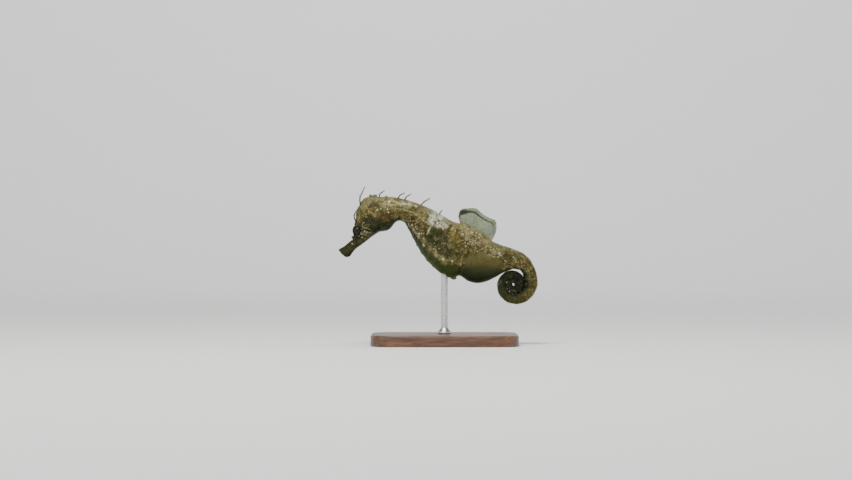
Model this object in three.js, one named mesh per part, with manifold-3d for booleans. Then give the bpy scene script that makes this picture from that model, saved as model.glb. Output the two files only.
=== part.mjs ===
// A life-size long-snouted seahorse on a plain display stand, in millimetres, +Z up, head towards -X.
// The animal is held as if swimming level: snout dipped, back up, tail rolled in a flat coil below its base.
// Every length of the body is a cylinder bent along one spine curve, so the lengths meet section to section.
// The origin is the centre of the underside of the stand's base.
import * as THREE from "three";
import { mergeVertices } from "three/addons/utils/BufferGeometryUtils.js";
import Module from "manifold-3d";

const wasm = await Module();
wasm.setup();

// ---------------------------------------------------------------- driving dimensions

const GAP = 0.3; // clear space between neighbouring pieces
const LEAST_THICKNESS = 0.55; // of fins and skin filaments
const SLIVER = 0.02; // facets thinner than this are closed up after a cut

// The body's section at each named place: x and z of the middle of the back and of the belly, half width,
// and lean, the share by which the section is wider above its middle than below.
const STATIONS = [
  { name: "mouth", back: [-48.1, 42.6], belly: [-44.5, 39.4], width: 1.6, lean: 0 },
  { name: "lips", back: [-46.0, 44.0], belly: [-42.3, 40.5], width: 1.9, lean: 0 },
  { name: "snout", back: [-43.4, 45.1], belly: [-40.4, 42.7], width: 1.8, lean: 0 },
  { name: "snout_root", back: [-41.7, 46.7], belly: [-38.2, 44.5], width: 2.2, lean: -0.05 },
  { name: "eye", back: [-41.1, 48.8], belly: [-35.9, 46.1], width: 3.0, lean: -0.1 },
  { name: "brow", back: [-40.6, 51.8], belly: [-33.7, 47.9], width: 3.8, lean: -0.15 },
  { name: "cheek", back: [-39.7, 55.6], belly: [-31.5, 49.5], width: 4.5, lean: -0.2 },
  { name: "temple", back: [-38.8, 59.9], belly: [-29.4, 50.8], width: 4.9, lean: -0.24 },
  { name: "crown", back: [-37.9, 63.9], belly: [-27.4, 51.2], width: 5.1, lean: -0.26 },
  { name: "coronet", back: [-35.0, 66.5], belly: [-25.6, 51.6], width: 5.2, lean: -0.26 },
  { name: "gill", back: [-29.6, 66.5], belly: [-24.0, 52.7], width: 5.1, lean: -0.2 },
  { name: "nape", back: [-24.9, 66.7], belly: [-22.4, 54.8], width: 4.5, lean: -0.08 },
  { name: "neck", back: [-20.6, 66.1], belly: [-20.4, 56.0], width: 3.9, lean: 0 },
  { name: "neck_root", back: [-16.6, 65.2], belly: [-18.0, 55.1], width: 4.1, lean: 0.05 },
  { name: "chest", back: [-12.8, 64.0], belly: [-15.8, 51.4], width: 5.0, lean: 0.1 },
  { name: "breast", back: [-8.8, 62.4], belly: [-13.7, 47.2], width: 5.9, lean: 0.12 },
  { name: "ribs", back: [-4.5, 60.4], belly: [-11.2, 42.8], width: 6.6, lean: 0.14 },
  { name: "flank", back: [-0.4, 58.0], belly: [-8.2, 38.5], width: 7.0, lean: 0.14 },
  { name: "side", back: [3.6, 55.7], belly: [-4.5, 34.7], width: 7.2, lean: 0.13 },
  { name: "belly", back: [7.5, 54.5], belly: [-0.9, 32.0], width: 7.1, lean: 0.12 },
  { name: "loin", back: [11.5, 53.4], belly: [3.0, 30.2], width: 6.8, lean: 0.08 },
  { name: "vent", back: [15.3, 51.1], belly: [6.8, 31.1], width: 6.3, lean: 0 },
  { name: "pouch", back: [18.9, 48.3], belly: [10.6, 28.8], width: 6.3, lean: -0.12 },
  { name: "pouch_middle", back: [22.5, 46.3], belly: [14.7, 27.8], width: 6.2, lean: -0.16 },
  { name: "pouch_end", back: [26.0, 44.8], belly: [18.9, 28.6], width: 5.5, lean: -0.12 },
  { name: "tail_root", back: [29.1, 43.9], belly: [22.8, 30.4], width: 4.6, lean: 0 },
  { name: "tail", back: [32.1, 42.8], belly: [26.0, 32.6], width: 4.1, lean: 0 },
  { name: "tail_rise", back: [34.9, 41.6], belly: [28.9, 33.95], width: 3.8, lean: 0 },
  { name: "tail_top", back: [37.7, 39.4], belly: [31.8, 34.3], width: 3.5, lean: 0 },
  { name: "tail_fall", back: [39.9, 36.1], belly: [34.7, 33.0], width: 3.1, lean: 0 },
];

// The coil lies in the X-Z plane. Its outside shrinks by the same share each turn and each turn fills the
// one before it, but for a gap. The angles are in degrees.
const COIL = { x: 31.1, z: 27.4, outside: 10.8, decay: 0.1204, gap: 0.36, turns: 2.25, step: 26, start: -24 };
const COIL_WIDTH = 1.05; // of the tail's depth

const SQUARENESS = { trunk: 2.15, tail: 2.4 }; // 2 is an ellipse, more is squarer
const RINGS = { trunk: 11, tail: 36, shrink: 0.968, relief: 0.22 }; // each tail ring is shorter by that share
const RIDGE = { trunk: 0.45, tail: 0.32, halfAngle: 4 }; // how far the corner ridges stand out of the section
const FADE = { neck: 8, vent: 3 }; // millimetres along the spine over which rings and ridges change
const TRUNK_RIDGES = [30, 90, 135, 180]; // degrees from the middle of the back, on both sides
const TAIL_RIDGES = [45, 135];

// Lengths of the body, from station to station.
const LENGTHS = [
  { name: "snout", from: "mouth", to: "snout_root", colour: "snout" },
  { name: "head", from: "snout_root", to: "nape", colour: "skin" },
  { name: "neck", from: "nape", to: "chest", colour: "skin" },
  { name: "trunk_front", from: "chest", to: "side", colour: "skin" },
  { name: "trunk_rear", from: "side", to: "vent", colour: "skin" },
  { name: "tail_base", from: "vent", to: "tail_rise", colour: "skin" },
  { name: "tail_bend", from: "tail_rise", to: "coil_2", colour: "skin" },
  { name: "tail_coil_outer", from: "coil_2", to: "coil_8", colour: "skin" },
  { name: "tail_coil_middle", from: "coil_8", to: "coil_14", colour: "skin" },
  { name: "tail_coil_inner", from: "coil_14", to: "coil_20", colour: "skin" },
  { name: "tail_tip", from: "coil_20", to: "tip", colour: "skin" },
];

const POUCH = { x: 16.9, z: 30.4, half: [12.0, 12.0, 10.6] }; // the brood pouch's round cut in the tail base
const EYE = { x: -39.1, z: 51.5, side: 2.75, radius: 1.95, play: 0.2 };
const CORONET = { x: -32.4, z: 65.2, lean: 4, root: 1.9, top: 1.8, height: 3.0, points: 5 };
const ORBIT = { radius: 2.75, side: 2.25, bulge: 1.9 }; // the raised rim round each eye
const LIP = 0.9; // the snout's rounded end
const MOUTH = { length: 1.3, opening: 0.5, up: 0.6 };

// Fans: the root runs from root[0] to root[1] and the edge passes through the listed points, all as x, z.
const DORSAL_FIN = {
  root: [[8.0, 52.2], [18.8, 46.0]],
  edge: [
    [6.2, 58.0], [7.2, 60.9], [10.4, 61.7], [14.2, 61.6], [17.0, 59.4],
    [20.2, 57.4], [23.2, 55.8], [23.4, 51.2], [21.4, 46.8],
  ],
  wave: 1.2,
  waves: 2.5,
};
const ANAL_FIN = { root: [[3.0, 32.6], [5.4, 32.0]], edge: [[2.8, 29.9], [4.0, 29.3], [5.4, 29.6]] };
const PECTORAL_FIN = {
  root: [[-24.9, 61.4], [-24.5, 57.6]],
  edge: [[-22.3, 62.8], [-20.7, 60.8], [-20.5, 58.0], [-21.9, 56.2]],
  side: 4.35,
  flare: 0.42, // sideways for each millimetre from the root
};

// Skin filaments: the station and share of the way to the next where each is rooted, degrees round from the
// middle of the back (the animal's left is negative), and its bends and tip as x, y, z from the root.
const FILAMENTS = {
  brow_left: { at: "cheek", share: 0, round: -18, bends: [[-1.1, -0.5, 1.8], [-0.7, -1, 4], [1, -1.5, 6.4]] },
  brow_right: { at: "cheek", share: 0.3, round: 24, bends: [[-0.9, 0.8, 2], [0, 1.6, 4.6], [1.8, 2, 6.6]] },
  crown_left: { at: "temple", share: 0.9, round: -12, bends: [[-0.3, -0.4, 2.3], [0.2, -0.6, 4.4], [2, -1, 8.1]] },
  crown_right: { at: "gill", share: 0, round: 16, bends: [[0.3, 0.5, 2.2], [2.4, 1, 3.8]] },
  temple_left: { at: "crown", share: 0.5, round: -42, bends: [[1.1, -1, 1.3], [3, -1.4, 2.1], [6, -1.4, 2.7]] },
  temple_right: { at: "crown", share: 0.2, round: 46, bends: [[1.4, 1.2, 1.5], [3.6, 1.7, 2.8]] },
  nape_left: { at: "nape", share: 0.95, round: -12, bends: [[1.0, -0.4, 1.4], [3.0, -0.8, 2.4]] },
  nape_right: { at: "neck", share: 0.65, round: 14, bends: [[1.0, 0.5, 1.4], [3.0, 0.9, 2.6]] },
  neck_left: { at: "chest", share: 0.6, round: -14, bends: [[1.5, -0.4, 1.6], [4.0, -0.8, 3.1]] },
  back_right: { at: "ribs", share: 0.6, round: 18, bends: [[0.4, 0.6, 1.3], [1.3, 1, 2.4]] },
};
const FILAMENT_ROOT = 0.42; // radius

const BASE = { length: 66, width: 40, height: 5, corner: 9, bevel: 0.8 };
// The rod's reach is into the belly, before it is cut to fit under it.
const ROD = { radius: 1.5, collar: 3.0, collarHeight: 2.2, reach: 40 };

const COLOURS = {
  skin: { color: 0x8c7a45, roughness: 0.6 },
  snout: { color: 0x4d4a30, roughness: 0.6 },
  pouch: { color: 0x6b6440, roughness: 0.5 },
  eye: { color: 0x1c1a12, roughness: 0.12 },
  fin: { color: 0xa6a27c, roughness: 0.4 },
  filament: { color: 0x2f3f2a, roughness: 0.6 },
  base: { color: 0xc9c7c0, roughness: 0.5 },
  rod: { color: 0xb4b6b8, roughness: 0.3, metalness: 1 },
};

// ---------------------------------------------------------------- the spine and its sections

const radians = THREE.MathUtils.degToRad;
const lerp = THREE.MathUtils.lerp;

function coilStations() {
  const { x, z, outside, decay, gap, turns, step, start } = COIL;
  const count = Math.floor((turns * 360 - start) / step);
  return Array.from({ length: count + 1 }, (_, i) => {
    const angle = radians(start + i * step);
    const outer = outside * Math.exp(-decay * angle);
    const inner = outer * Math.exp(-decay * 2 * Math.PI) + gap;
    const at = (distance) => [x + distance * Math.cos(angle), z - distance * Math.sin(angle)];
    const name = i === count ? "tip" : `coil_${i}`;
    return { name, back: at(outer), belly: at(inner), width: ((outer - inner) / 2) * COIL_WIDTH, lean: 0 };
  });
}

const stations = [...STATIONS, ...coilStations()];
const curveThrough = (toPoint) => new THREE.CatmullRomCurve3(stations.map(toPoint), false, "catmullrom");
const halfSum = ([ax, az], [bx, bz], sign) => new THREE.Vector3((ax + sign * bx) / 2, 0, (az + sign * bz) / 2);
const spine = curveThrough(({ back, belly }) => halfSum(back, belly, 1));
const upward = curveThrough(({ back, belly }) => halfSum(back, belly, -1));
const girth = curveThrough(({ width, lean }) => new THREE.Vector3(width, lean, 0));
spine.arcLengthDivisions = 4000;
const spineLength = spine.getLength();

// How far along the spine a station lies, in millimetres; share is how far on towards the next.
function along(name, share = 0) {
  const lengths = spine.getLengths();
  const index = stations.findIndex((s) => s.name === name) + share;
  return lengths[Math.round((index / (stations.length - 1)) * (lengths.length - 1))];
}

const TRUNK_START = along("nape");
const TAIL_START = along("vent");

// The bony rings' edges: even along the trunk, ever closer along the tail.
function ringEdges() {
  const trunk = Array.from({ length: RINGS.trunk }, (_, i) => lerp(TRUNK_START, TAIL_START, i / RINGS.trunk));
  const whole = 1 - Math.pow(RINGS.shrink, RINGS.tail);
  const tail = Array.from({ length: RINGS.tail + 1 }, (_, i) =>
    lerp(TAIL_START, spineLength, (1 - Math.pow(RINGS.shrink, i)) / whole),
  );
  return [...trunk, ...tail];
}
const edges = ringEdges();

// 1 in the middle of a ring and 0 at its edges; 0 on the head.
function ringSwell(s) {
  const i = edges.findIndex((e) => e > s);
  return i < 1 ? 0 : Math.sin((Math.PI * (s - edges[i - 1])) / (edges[i] - edges[i - 1]));
}

// The section at s millimetres along the spine: its middle, the way up to the back, half depth, half width
// and lean.
function sectionAt(s) {
  const share = spine.getUtoTmapping(s / spineLength);
  const up = upward.getPoint(share);
  const { x: width, y: lean } = girth.getPoint(share);
  return { middle: spine.getPoint(share), depth: up.length(), up: up.normalize(), width, lean };
}

// How far the skin stands from the spine, degrees round from the middle of the back.
function reach(s, degrees, { depth, width, lean }) {
  const turn = radians(degrees);
  const halfWidth = width * (1 + lean * Math.cos(turn));
  const squareness = s > TAIL_START ? SQUARENESS.tail : SQUARENESS.trunk;
  const upright = Math.pow(Math.abs(Math.cos(turn)) / depth, squareness);
  const sideways = Math.pow(Math.abs(Math.sin(turn)) / halfWidth, squareness);
  const round = Math.pow(upright + sideways, -1 / squareness);
  const lip = Math.sqrt(1 - Math.pow(0.8 * Math.max(0, 1 - s / LIP), 2));
  if (s < TRUNK_START) return round * lip;
  const tail = THREE.MathUtils.smoothstep(s, TAIL_START - FADE.vent, TAIL_START + FADE.vent);
  const folded = Math.abs(((degrees + 540) % 360) - 180);
  const onRidge = (ridges) => (ridges.some((r) => Math.abs(folded - r) < RIDGE.halfAngle) ? 1 : 0);
  const rise = THREE.MathUtils.smoothstep(s, TRUNK_START, TRUNK_START + FADE.neck);
  const slender = Math.min(1, depth / 4);
  const swell = RINGS.relief * slender * (ringSwell(s) - 0.5) * 2;
  const trunkRidge = (1 - tail) * RIDGE.trunk * onRidge(TRUNK_RIDGES);
  const tailRidge = tail * RIDGE.tail * slender * onRidge(TAIL_RIDGES);
  return round + rise * ((trunkRidge + tailRidge) * (0.5 + ringSwell(s)) + swell - RINGS.relief * slender);
}

// Where the skin is, in space; out is 0 on the spine and 1 on the skin, grow is added to the reach.
function skinPoint(s, degrees, out = 1, grow = 0) {
  const section = sectionAt(s);
  const r = out * (reach(s, degrees, section) + grow);
  return section.middle
    .addScaledVector(section.up, r * Math.cos(radians(degrees)))
    .addScaledVector(new THREE.Vector3(0, 1, 0), r * Math.sin(radians(degrees)));
}

// ---------------------------------------------------------------- shapes

// A cylinder whose rows and spokes are moved to place(row share 0..1, degrees round, out 0..1).
function bentCylinder(spokes, rows, place) {
  const geometry = new THREE.CylinderGeometry(1, 1, 1, spokes, rows);
  const position = geometry.getAttribute("position");
  const point = new THREE.Vector3();
  for (let i = 0; i < position.count; i++) {
    point.fromBufferAttribute(position, i);
    const degrees = Math.round(THREE.MathUtils.radToDeg(Math.atan2(point.x, point.z)));
    const to = place(0.5 - point.y, degrees, Math.hypot(point.x, point.z));
    position.setXYZ(i, to.x, to.y, to.z);
  }
  return geometry;
}

// Rows at the middle and edges of each ring, and evenly on the head.
function rowsBetween(start, end, headStep) {
  const marks = edges.flatMap((e, i) => (i ? [(edges[i - 1] + e) / 2, e] : [e]));
  const inside = marks.filter((m) => m > start + 0.4 && m < end - 0.4);
  const headEnd = Math.min(end, TRUNK_START - 0.4);
  const count = Math.max(0, Math.round((headEnd - start) / headStep));
  const onHead = Array.from({ length: count }, (_, i) => start + ((i + 1) * (headEnd - start)) / (count + 1));
  const onLip = start < LIP ? [LIP / 4, LIP / 2, LIP] : [];
  return [start, ...onLip, ...onHead, ...inside, end];
}

function bodyLength(start, end, grow = 0) {
  const rows = rowsBetween(start, end, 1.7);
  const spokes = start < along("tail_top") ? 24 : 16;
  return bentCylinder(spokes, rows.length - 1, (share, degrees, out) =>
    skinPoint(rows[Math.round(share * (rows.length - 1))], degrees, out, grow),
  );
}

// A fan as a thin box: its x runs along the root and edge, its y up the rays, its z through it.
function fan({ root, edge, wave = 0, waves = 1, side = 0, flare = 0 }, sideSign = 1) {
  const edgeCurve = new THREE.CatmullRomCurve3(edge.map(([x, z]) => new THREE.Vector3(x, 0, z)));
  const [start, end] = root.map(([x, z]) => new THREE.Vector3(x, 0, z));
  const across = Math.max(4, edge.length * 3);
  const geometry = new THREE.BoxGeometry(1, 1, 1, across, 4, 1);
  const position = geometry.getAttribute("position");
  for (let i = 0; i < position.count; i++) {
    const share = position.getX(i) + 0.5;
    const up = position.getY(i) + 0.5;
    const foot = start.clone().lerp(end, share);
    const point = foot.clone().lerp(edgeCurve.getPointAt(share), up);
    const sway = wave * up * Math.sin(share * waves * 2 * Math.PI);
    const away = side + flare * point.distanceTo(foot) + sway;
    position.setXYZ(i, point.x, sideSign * away + position.getZ(i) * LEAST_THICKNESS, point.z);
  }
  return geometry;
}

// A filament tapers from its root to its tip along a smooth curve.
function filament({ at, share: on, round, bends }) {
  const s = along(at, on);
  const root = skinPoint(s, round);
  const inside = skinPoint(s, round, 0.8);
  const points = [inside, root, ...bends.map((b) => root.clone().add(new THREE.Vector3(...b)))];
  const curve = new THREE.CatmullRomCurve3(points);
  const sideways = new THREE.Vector3(0, 1, 0);
  return bentCylinder(6, points.length * 2, (share, degrees, out) => {
    const tangent = curve.getTangentAt(share);
    const up = sideways.clone().cross(tangent).normalize();
    const radius = out * lerp(FILAMENT_ROOT, LEAST_THICKNESS / 2, share);
    return curve
      .getPointAt(share)
      .addScaledVector(tangent.clone().cross(up), radius * Math.sin(radians(degrees)))
      .addScaledVector(up, -radius * Math.cos(radians(degrees)));
  });
}

// The coronet: a small crown whose rim rises into points.
function coronet() {
  const { x, z, lean, root, top, height, points } = CORONET;
  const geometry = bentCylinder(points * 4, 3, (share, degrees, out) => {
    const up = 1 - share;
    const lobe = 0.5 + 0.5 * Math.cos(points * radians(degrees));
    const radius = out * lerp(root, top * lerp(0.72, 1, lobe), up);
    const rim = up > 0.9 ? height * (out < 0.5 ? 0.62 : lerp(0.72, 1, lobe)) : height * up;
    return new THREE.Vector3(radius * Math.cos(radians(degrees)), radius * Math.sin(radians(degrees)), rim);
  });
  return geometry.rotateY(radians(lean)).translate(x, 0, z);
}

function basePlate() {
  const { length, width, height, corner, bevel } = BASE;
  const [halfLength, halfWidth] = [length / 2 - bevel, width / 2 - bevel];
  const outline = new THREE.Shape();
  outline.moveTo(-halfLength + corner, -halfWidth);
  outline.lineTo(halfLength - corner, -halfWidth);
  outline.absarc(halfLength - corner, -halfWidth + corner, corner, -Math.PI / 2, 0);
  outline.absarc(halfLength - corner, halfWidth - corner, corner, 0, Math.PI / 2);
  outline.absarc(-halfLength + corner, halfWidth - corner, corner, Math.PI / 2, Math.PI);
  outline.absarc(-halfLength + corner, -halfWidth + corner, corner, Math.PI, 1.5 * Math.PI);
  return new THREE.ExtrudeGeometry(outline, {
    depth: height - 2 * bevel,
    bevelThickness: bevel,
    bevelSize: bevel,
    bevelSegments: 2,
    curveSegments: 5,
  }).translate(0, 0, bevel);
}

// The rod with its collar on the base, as one turned piece that runs up into the belly.
function rod() {
  const foot = BASE.height + GAP;
  const profile = [
    [0, foot],
    [ROD.collar, foot],
    [ROD.collar, foot + ROD.collarHeight * 0.6],
    [ROD.radius + 0.5, foot + ROD.collarHeight],
    [ROD.radius, foot + ROD.collarHeight + 0.8],
    [ROD.radius, ROD.reach],
    [0, ROD.reach],
  ].map(([r, z]) => new THREE.Vector2(r, z));
  return new THREE.LatheGeometry(profile, 24).rotateX(Math.PI / 2);
}

// ---------------------------------------------------------------- cutting and joining

function toSolid(geometry) {
  const bare = new THREE.BufferGeometry().setAttribute("position", geometry.getAttribute("position"));
  if (geometry.index) bare.setIndex(geometry.index);
  const merged = mergeVertices(bare.index ? bare.toNonIndexed() : bare, 1e-4);
  const mesh = {
    numProp: 3,
    vertProperties: merged.attributes.position.array,
    triVerts: new Uint32Array(merged.index.array),
  };
  const solid = new wasm.Manifold(new wasm.Mesh(mesh));
  if (solid.volume() > 0) return solid;
  for (let i = 0; i < mesh.triVerts.length; i += 3) {
    [mesh.triVerts[i], mesh.triVerts[i + 1]] = [mesh.triVerts[i + 1], mesh.triVerts[i]];
  }
  return new wasm.Manifold(new wasm.Mesh(mesh));
}

function toGeometry(solid) {
  const { vertProperties, triVerts } = solid.getMesh();
  return new THREE.BufferGeometry()
    .setAttribute("position", new THREE.BufferAttribute(new Float32Array(vertProperties), 3))
    .setIndex(new THREE.BufferAttribute(new Uint32Array(triVerts), 1))
    .toNonIndexed();
}

// The largest of the bodies that a cut leaves, without its slivers.
function largest(solid) {
  return solid.simplify(SLIVER).decompose().reduce((a, b) => (a.volume() > b.volume() ? a : b));
}

function eyeball(side, grow = 0) {
  return toSolid(new THREE.IcosahedronGeometry(EYE.radius + grow, 3).translate(EYE.x, side * EYE.side, EYE.z));
}

// The rim of bone and skin round an eye.
function orbit(side) {
  const bulge = new THREE.SphereGeometry(1, 16, 10).scale(ORBIT.radius, ORBIT.bulge, ORBIT.radius);
  return toSolid(bulge.translate(EYE.x, side * ORBIT.side, EYE.z));
}

// The slit between the jaws, at the end of the snout and a little above its middle.
function mouthSlit() {
  const point = sectionAt(0).middle.addScaledVector(sectionAt(0).up, MOUTH.up);
  const tangent = spine.getTangentAt(0);
  return toSolid(
    new THREE.BoxGeometry(2 * MOUTH.length, 10, MOUTH.opening)
      .rotateY(Math.atan2(-tangent.z, tangent.x))
      .translate(point.x, 0, point.z),
  );
}

// The round cut between the brood pouch and the tail base.
function pouchCut(grow) {
  const [a, b, c] = POUCH.half.map((half) => half + grow);
  return toSolid(new THREE.SphereGeometry(1, 24, 16).scale(a, b, c).translate(POUCH.x, 0, POUCH.z));
}

// ---------------------------------------------------------------- the model

const model = new THREE.Group();

function add(name, solid, colour) {
  const material = new THREE.MeshStandardMaterial(COLOURS[colour]);
  const geometry = toGeometry(solid);
  geometry.computeVertexNormals();
  const mesh = new THREE.Mesh(geometry, material);
  mesh.name = name;
  model.add(mesh);
}

// The body's lengths, each a hair short of its neighbour.
const lengths = new Map();
for (const { name, from, to } of LENGTHS) {
  const start = along(from) + (from === "mouth" ? 0 : GAP / 2);
  const end = along(to) - (to === "tip" ? 0 : GAP / 2);
  lengths.set(name, toSolid(bodyLength(start, end)));
}

// The body a gap larger, which fins, filaments, coronet and rod are cut back from.
const around = toSolid(bodyLength(0.5, along("tail_top"), GAP));

lengths.set("brood_pouch", largest(lengths.get("tail_base").intersect(pouchCut(0))));
lengths.set("tail_base", largest(lengths.get("tail_base").subtract(pouchCut(GAP))));

lengths.set("snout", largest(lengths.get("snout").subtract(mouthSlit())));

let head = lengths.get("head");
for (const side of [-1, 1]) {
  const label = side < 0 ? "left" : "right";
  head = head.add(orbit(side)).subtract(eyeball(side, EYE.play));
  add(`eye_${label}`, eyeball(side), "eye");
  add(`pectoral_fin_${label}`, largest(toSolid(fan(PECTORAL_FIN, side)).subtract(around)), "fin");
}
lengths.set("head", largest(head));

for (const [name, solid] of lengths) {
  const colour = name === "brood_pouch" ? "pouch" : LENGTHS.find((l) => l.name === name).colour;
  add(name, solid, colour);
}

add("coronet", largest(toSolid(coronet()).subtract(around)), "skin");
add("dorsal_fin", largest(toSolid(fan(DORSAL_FIN)).subtract(around)), "fin");
add("anal_fin", largest(toSolid(fan(ANAL_FIN)).subtract(around)), "fin");
for (const [name, shape] of Object.entries(FILAMENTS)) {
  add(`filament_${name}`, largest(toSolid(filament(shape)).subtract(around)), "filament");
}

add("stand_base", toSolid(basePlate()), "base");
add("stand_rod", largest(toSolid(rod()).subtract(around)), "rod");

export default model;
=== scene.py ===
import math

import bpy
import numpy as np
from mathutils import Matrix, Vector


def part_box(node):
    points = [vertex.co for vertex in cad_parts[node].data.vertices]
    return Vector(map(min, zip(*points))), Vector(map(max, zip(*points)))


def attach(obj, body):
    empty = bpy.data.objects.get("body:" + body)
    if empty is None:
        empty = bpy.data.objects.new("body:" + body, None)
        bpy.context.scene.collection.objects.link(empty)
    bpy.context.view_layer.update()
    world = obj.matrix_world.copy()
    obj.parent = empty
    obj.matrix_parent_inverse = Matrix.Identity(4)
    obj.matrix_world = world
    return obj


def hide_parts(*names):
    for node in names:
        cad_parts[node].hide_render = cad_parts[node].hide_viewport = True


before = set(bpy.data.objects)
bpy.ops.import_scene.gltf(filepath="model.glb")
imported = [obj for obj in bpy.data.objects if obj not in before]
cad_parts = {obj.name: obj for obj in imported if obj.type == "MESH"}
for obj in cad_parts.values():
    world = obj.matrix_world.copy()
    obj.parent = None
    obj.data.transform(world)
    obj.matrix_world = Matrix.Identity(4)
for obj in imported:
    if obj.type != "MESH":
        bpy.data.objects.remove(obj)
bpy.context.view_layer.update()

# A life-size long-snouted seahorse on a display stand. Tables are in millimetres in the part's frame,
# as in its CAD source, and every mesh is made in metres: head towards -X, the animal's left towards -Y.
MM = 0.001
CHANCE = np.random.default_rng(31)

# ---- the body's sections

# name, middle of the back (x, z), middle of the belly (x, z), half width, and lean, the share by which
# the section is wider above its middle than below
STATIONS = [
    ("mouth", (-48.1, 42.6), (-44.5, 39.4), 1.6, 0.0),
    ("lips", (-46.0, 44.0), (-42.3, 40.5), 1.9, 0.0),
    ("snout", (-43.4, 45.1), (-40.4, 42.7), 1.8, 0.0),
    ("snout_root", (-41.7, 46.7), (-38.2, 44.5), 2.2, -0.05),
    ("eye", (-41.1, 48.8), (-35.9, 46.1), 3.0, -0.1),
    ("brow", (-40.6, 51.8), (-33.7, 47.9), 3.8, -0.15),
    ("cheek", (-39.7, 55.6), (-31.5, 49.5), 4.5, -0.2),
    ("temple", (-38.8, 59.9), (-29.4, 50.8), 4.9, -0.24),
    ("crown", (-37.9, 63.9), (-27.4, 51.2), 5.1, -0.26),
    ("coronet", (-35.0, 66.5), (-25.6, 51.6), 5.2, -0.26),
    ("gill", (-29.6, 66.5), (-24.0, 52.7), 5.1, -0.2),
    ("nape", (-24.9, 66.7), (-22.4, 54.8), 4.5, -0.08),
    ("neck", (-20.6, 66.1), (-20.4, 56.0), 3.9, 0.0),
    ("neck_root", (-16.6, 65.2), (-18.0, 55.1), 4.1, 0.05),
    ("chest", (-12.8, 64.0), (-15.8, 51.4), 5.0, 0.1),
    ("breast", (-8.8, 62.4), (-13.7, 47.2), 5.9, 0.12),
    ("ribs", (-4.5, 60.4), (-11.2, 42.8), 6.6, 0.14),
    ("flank", (-0.4, 58.0), (-8.2, 38.5), 7.0, 0.14),
    ("side", (3.6, 55.7), (-4.5, 34.7), 7.2, 0.13),
    ("belly", (7.5, 54.5), (-0.9, 32.0), 7.1, 0.12),
    ("loin", (11.5, 53.4), (3.0, 30.2), 6.8, 0.08),
    ("vent", (15.3, 51.1), (6.8, 31.1), 6.3, 0.0),
    ("pouch", (18.9, 48.3), (10.6, 28.8), 6.3, -0.12),
    ("pouch_middle", (22.5, 46.3), (14.7, 27.8), 6.2, -0.16),
    ("pouch_end", (26.0, 44.8), (18.9, 28.6), 5.5, -0.12),
    ("tail_root", (29.1, 43.9), (22.8, 30.4), 4.6, 0.0),
    ("tail", (32.1, 42.8), (26.0, 32.3), 4.1, 0.0),
    ("tail_rise", (34.9, 41.6), (28.9, 33.55), 3.8, 0.0),
    ("tail_top", (37.7, 39.4), (31.8, 34.2), 3.5, 0.0),
    ("tail_fall", (39.9, 36.1), (34.7, 33.0), 3.1, 0.0),
]

# The coil's outside shrinks by the same share each turn, and each turn rests on the next.
COIL_X, COIL_Z, COIL_OUTSIDE, COIL_DECAY = 31.1, 27.4, 10.8, 0.1204
COIL_START, COIL_STEP, COIL_TURNS = -24, 26, 3.2  # degrees, degrees, turns
COIL_GAP = -0.2  # a little less than none, so that the turns touch
COIL_ROUNDNESS = 0.52  # half its width as a share of its depth
LIP, LIP_CLOSING = 0.9, 0.8  # length of the snout's rounded end, and how far it closes
TRUNK_SQUARENESS, TAIL_SQUARENESS = 2.15, 2.4  # 2 is an oval


def coil_stations():
    count = int((COIL_TURNS * 360 - COIL_START) // COIL_STEP)
    for number in range(count + 1):
        angle = math.radians(COIL_START + number * COIL_STEP)
        outside = COIL_OUTSIDE * math.exp(-COIL_DECAY * angle)
        inside = outside * math.exp(-COIL_DECAY * 2 * math.pi) + COIL_GAP
        rim = [(COIL_X + r * math.cos(angle), COIL_Z - r * math.sin(angle)) for r in (outside, inside)]
        name = "tip" if number == count else f"coil_{number}"
        yield name, *rim, (outside - inside) * COIL_ROUNDNESS, 0.0


stations = STATIONS + list(coil_stations())
station_names = [name for name, *_ in stations]


def catmull_rom(points, share):
    """The smooth curve through the points, at a share from 0 to 1 counted in points."""
    points = np.asarray(points, float)
    held = np.vstack([2 * points[0] - points[1], points, 2 * points[-1] - points[-2]])
    at = np.clip(share, 0, 1) * (len(points) - 1)
    index = np.minimum(at.astype(int), len(points) - 2)
    part = (at - index)[..., None]
    before, start, end, after = (held[index + step] for step in range(4))
    slope, end_slope = (end - before) / 2, (after - start) / 2
    cubic = 2 * start - 2 * end + slope + end_slope
    square = 3 * end - 3 * start - 2 * slope - end_slope
    return cubic * part**3 + square * part**2 + slope * part + start


def smoothstep(low, high, value):
    share = np.clip((value - low) / (high - low), 0, 1)
    return share * share * (3 - 2 * share)


def fade(low, high, value):
    """1 up to low and 0 from high on."""
    return 1 - smoothstep(low, high, value)


def bell(distance, width):
    return np.exp(-((distance / width) ** 2))


def section_table():
    backs = np.array([(edge[0], 0, edge[1]) for _, edge, *_ in stations])
    bellies = np.array([(edge[0], 0, edge[1]) for _, _, edge, *_ in stations])
    girths = np.array([(width, lean) for *_, width, lean in stations])
    return (backs + bellies) / 2, (backs - bellies) / 2, girths


middles, upwards, girths = section_table()
fine_shares = np.linspace(0, 1, 9001)
fine_middles = catmull_rom(middles, fine_shares)
fine_lengths = np.concatenate([[0], np.cumsum(np.linalg.norm(np.diff(fine_middles, axis=0), axis=1))])
SPINE_LENGTH = fine_lengths[-1]


def along(name, share=0.0):
    """Millimetres along the spine from the mouth to a station, or a share of the way on to the next."""
    at = (station_names.index(name) + share) / (len(stations) - 1)
    return float(np.interp(at, fine_shares, fine_lengths))


def sections(places):
    share = np.interp(places, fine_lengths, fine_shares)
    up = catmull_rom(upwards, share)
    depth = np.linalg.norm(up, axis=-1)
    girth = catmull_rom(girths, share)
    return catmull_rom(middles, share), up / depth[..., None], depth, girth[..., 0], girth[..., 1]


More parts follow.
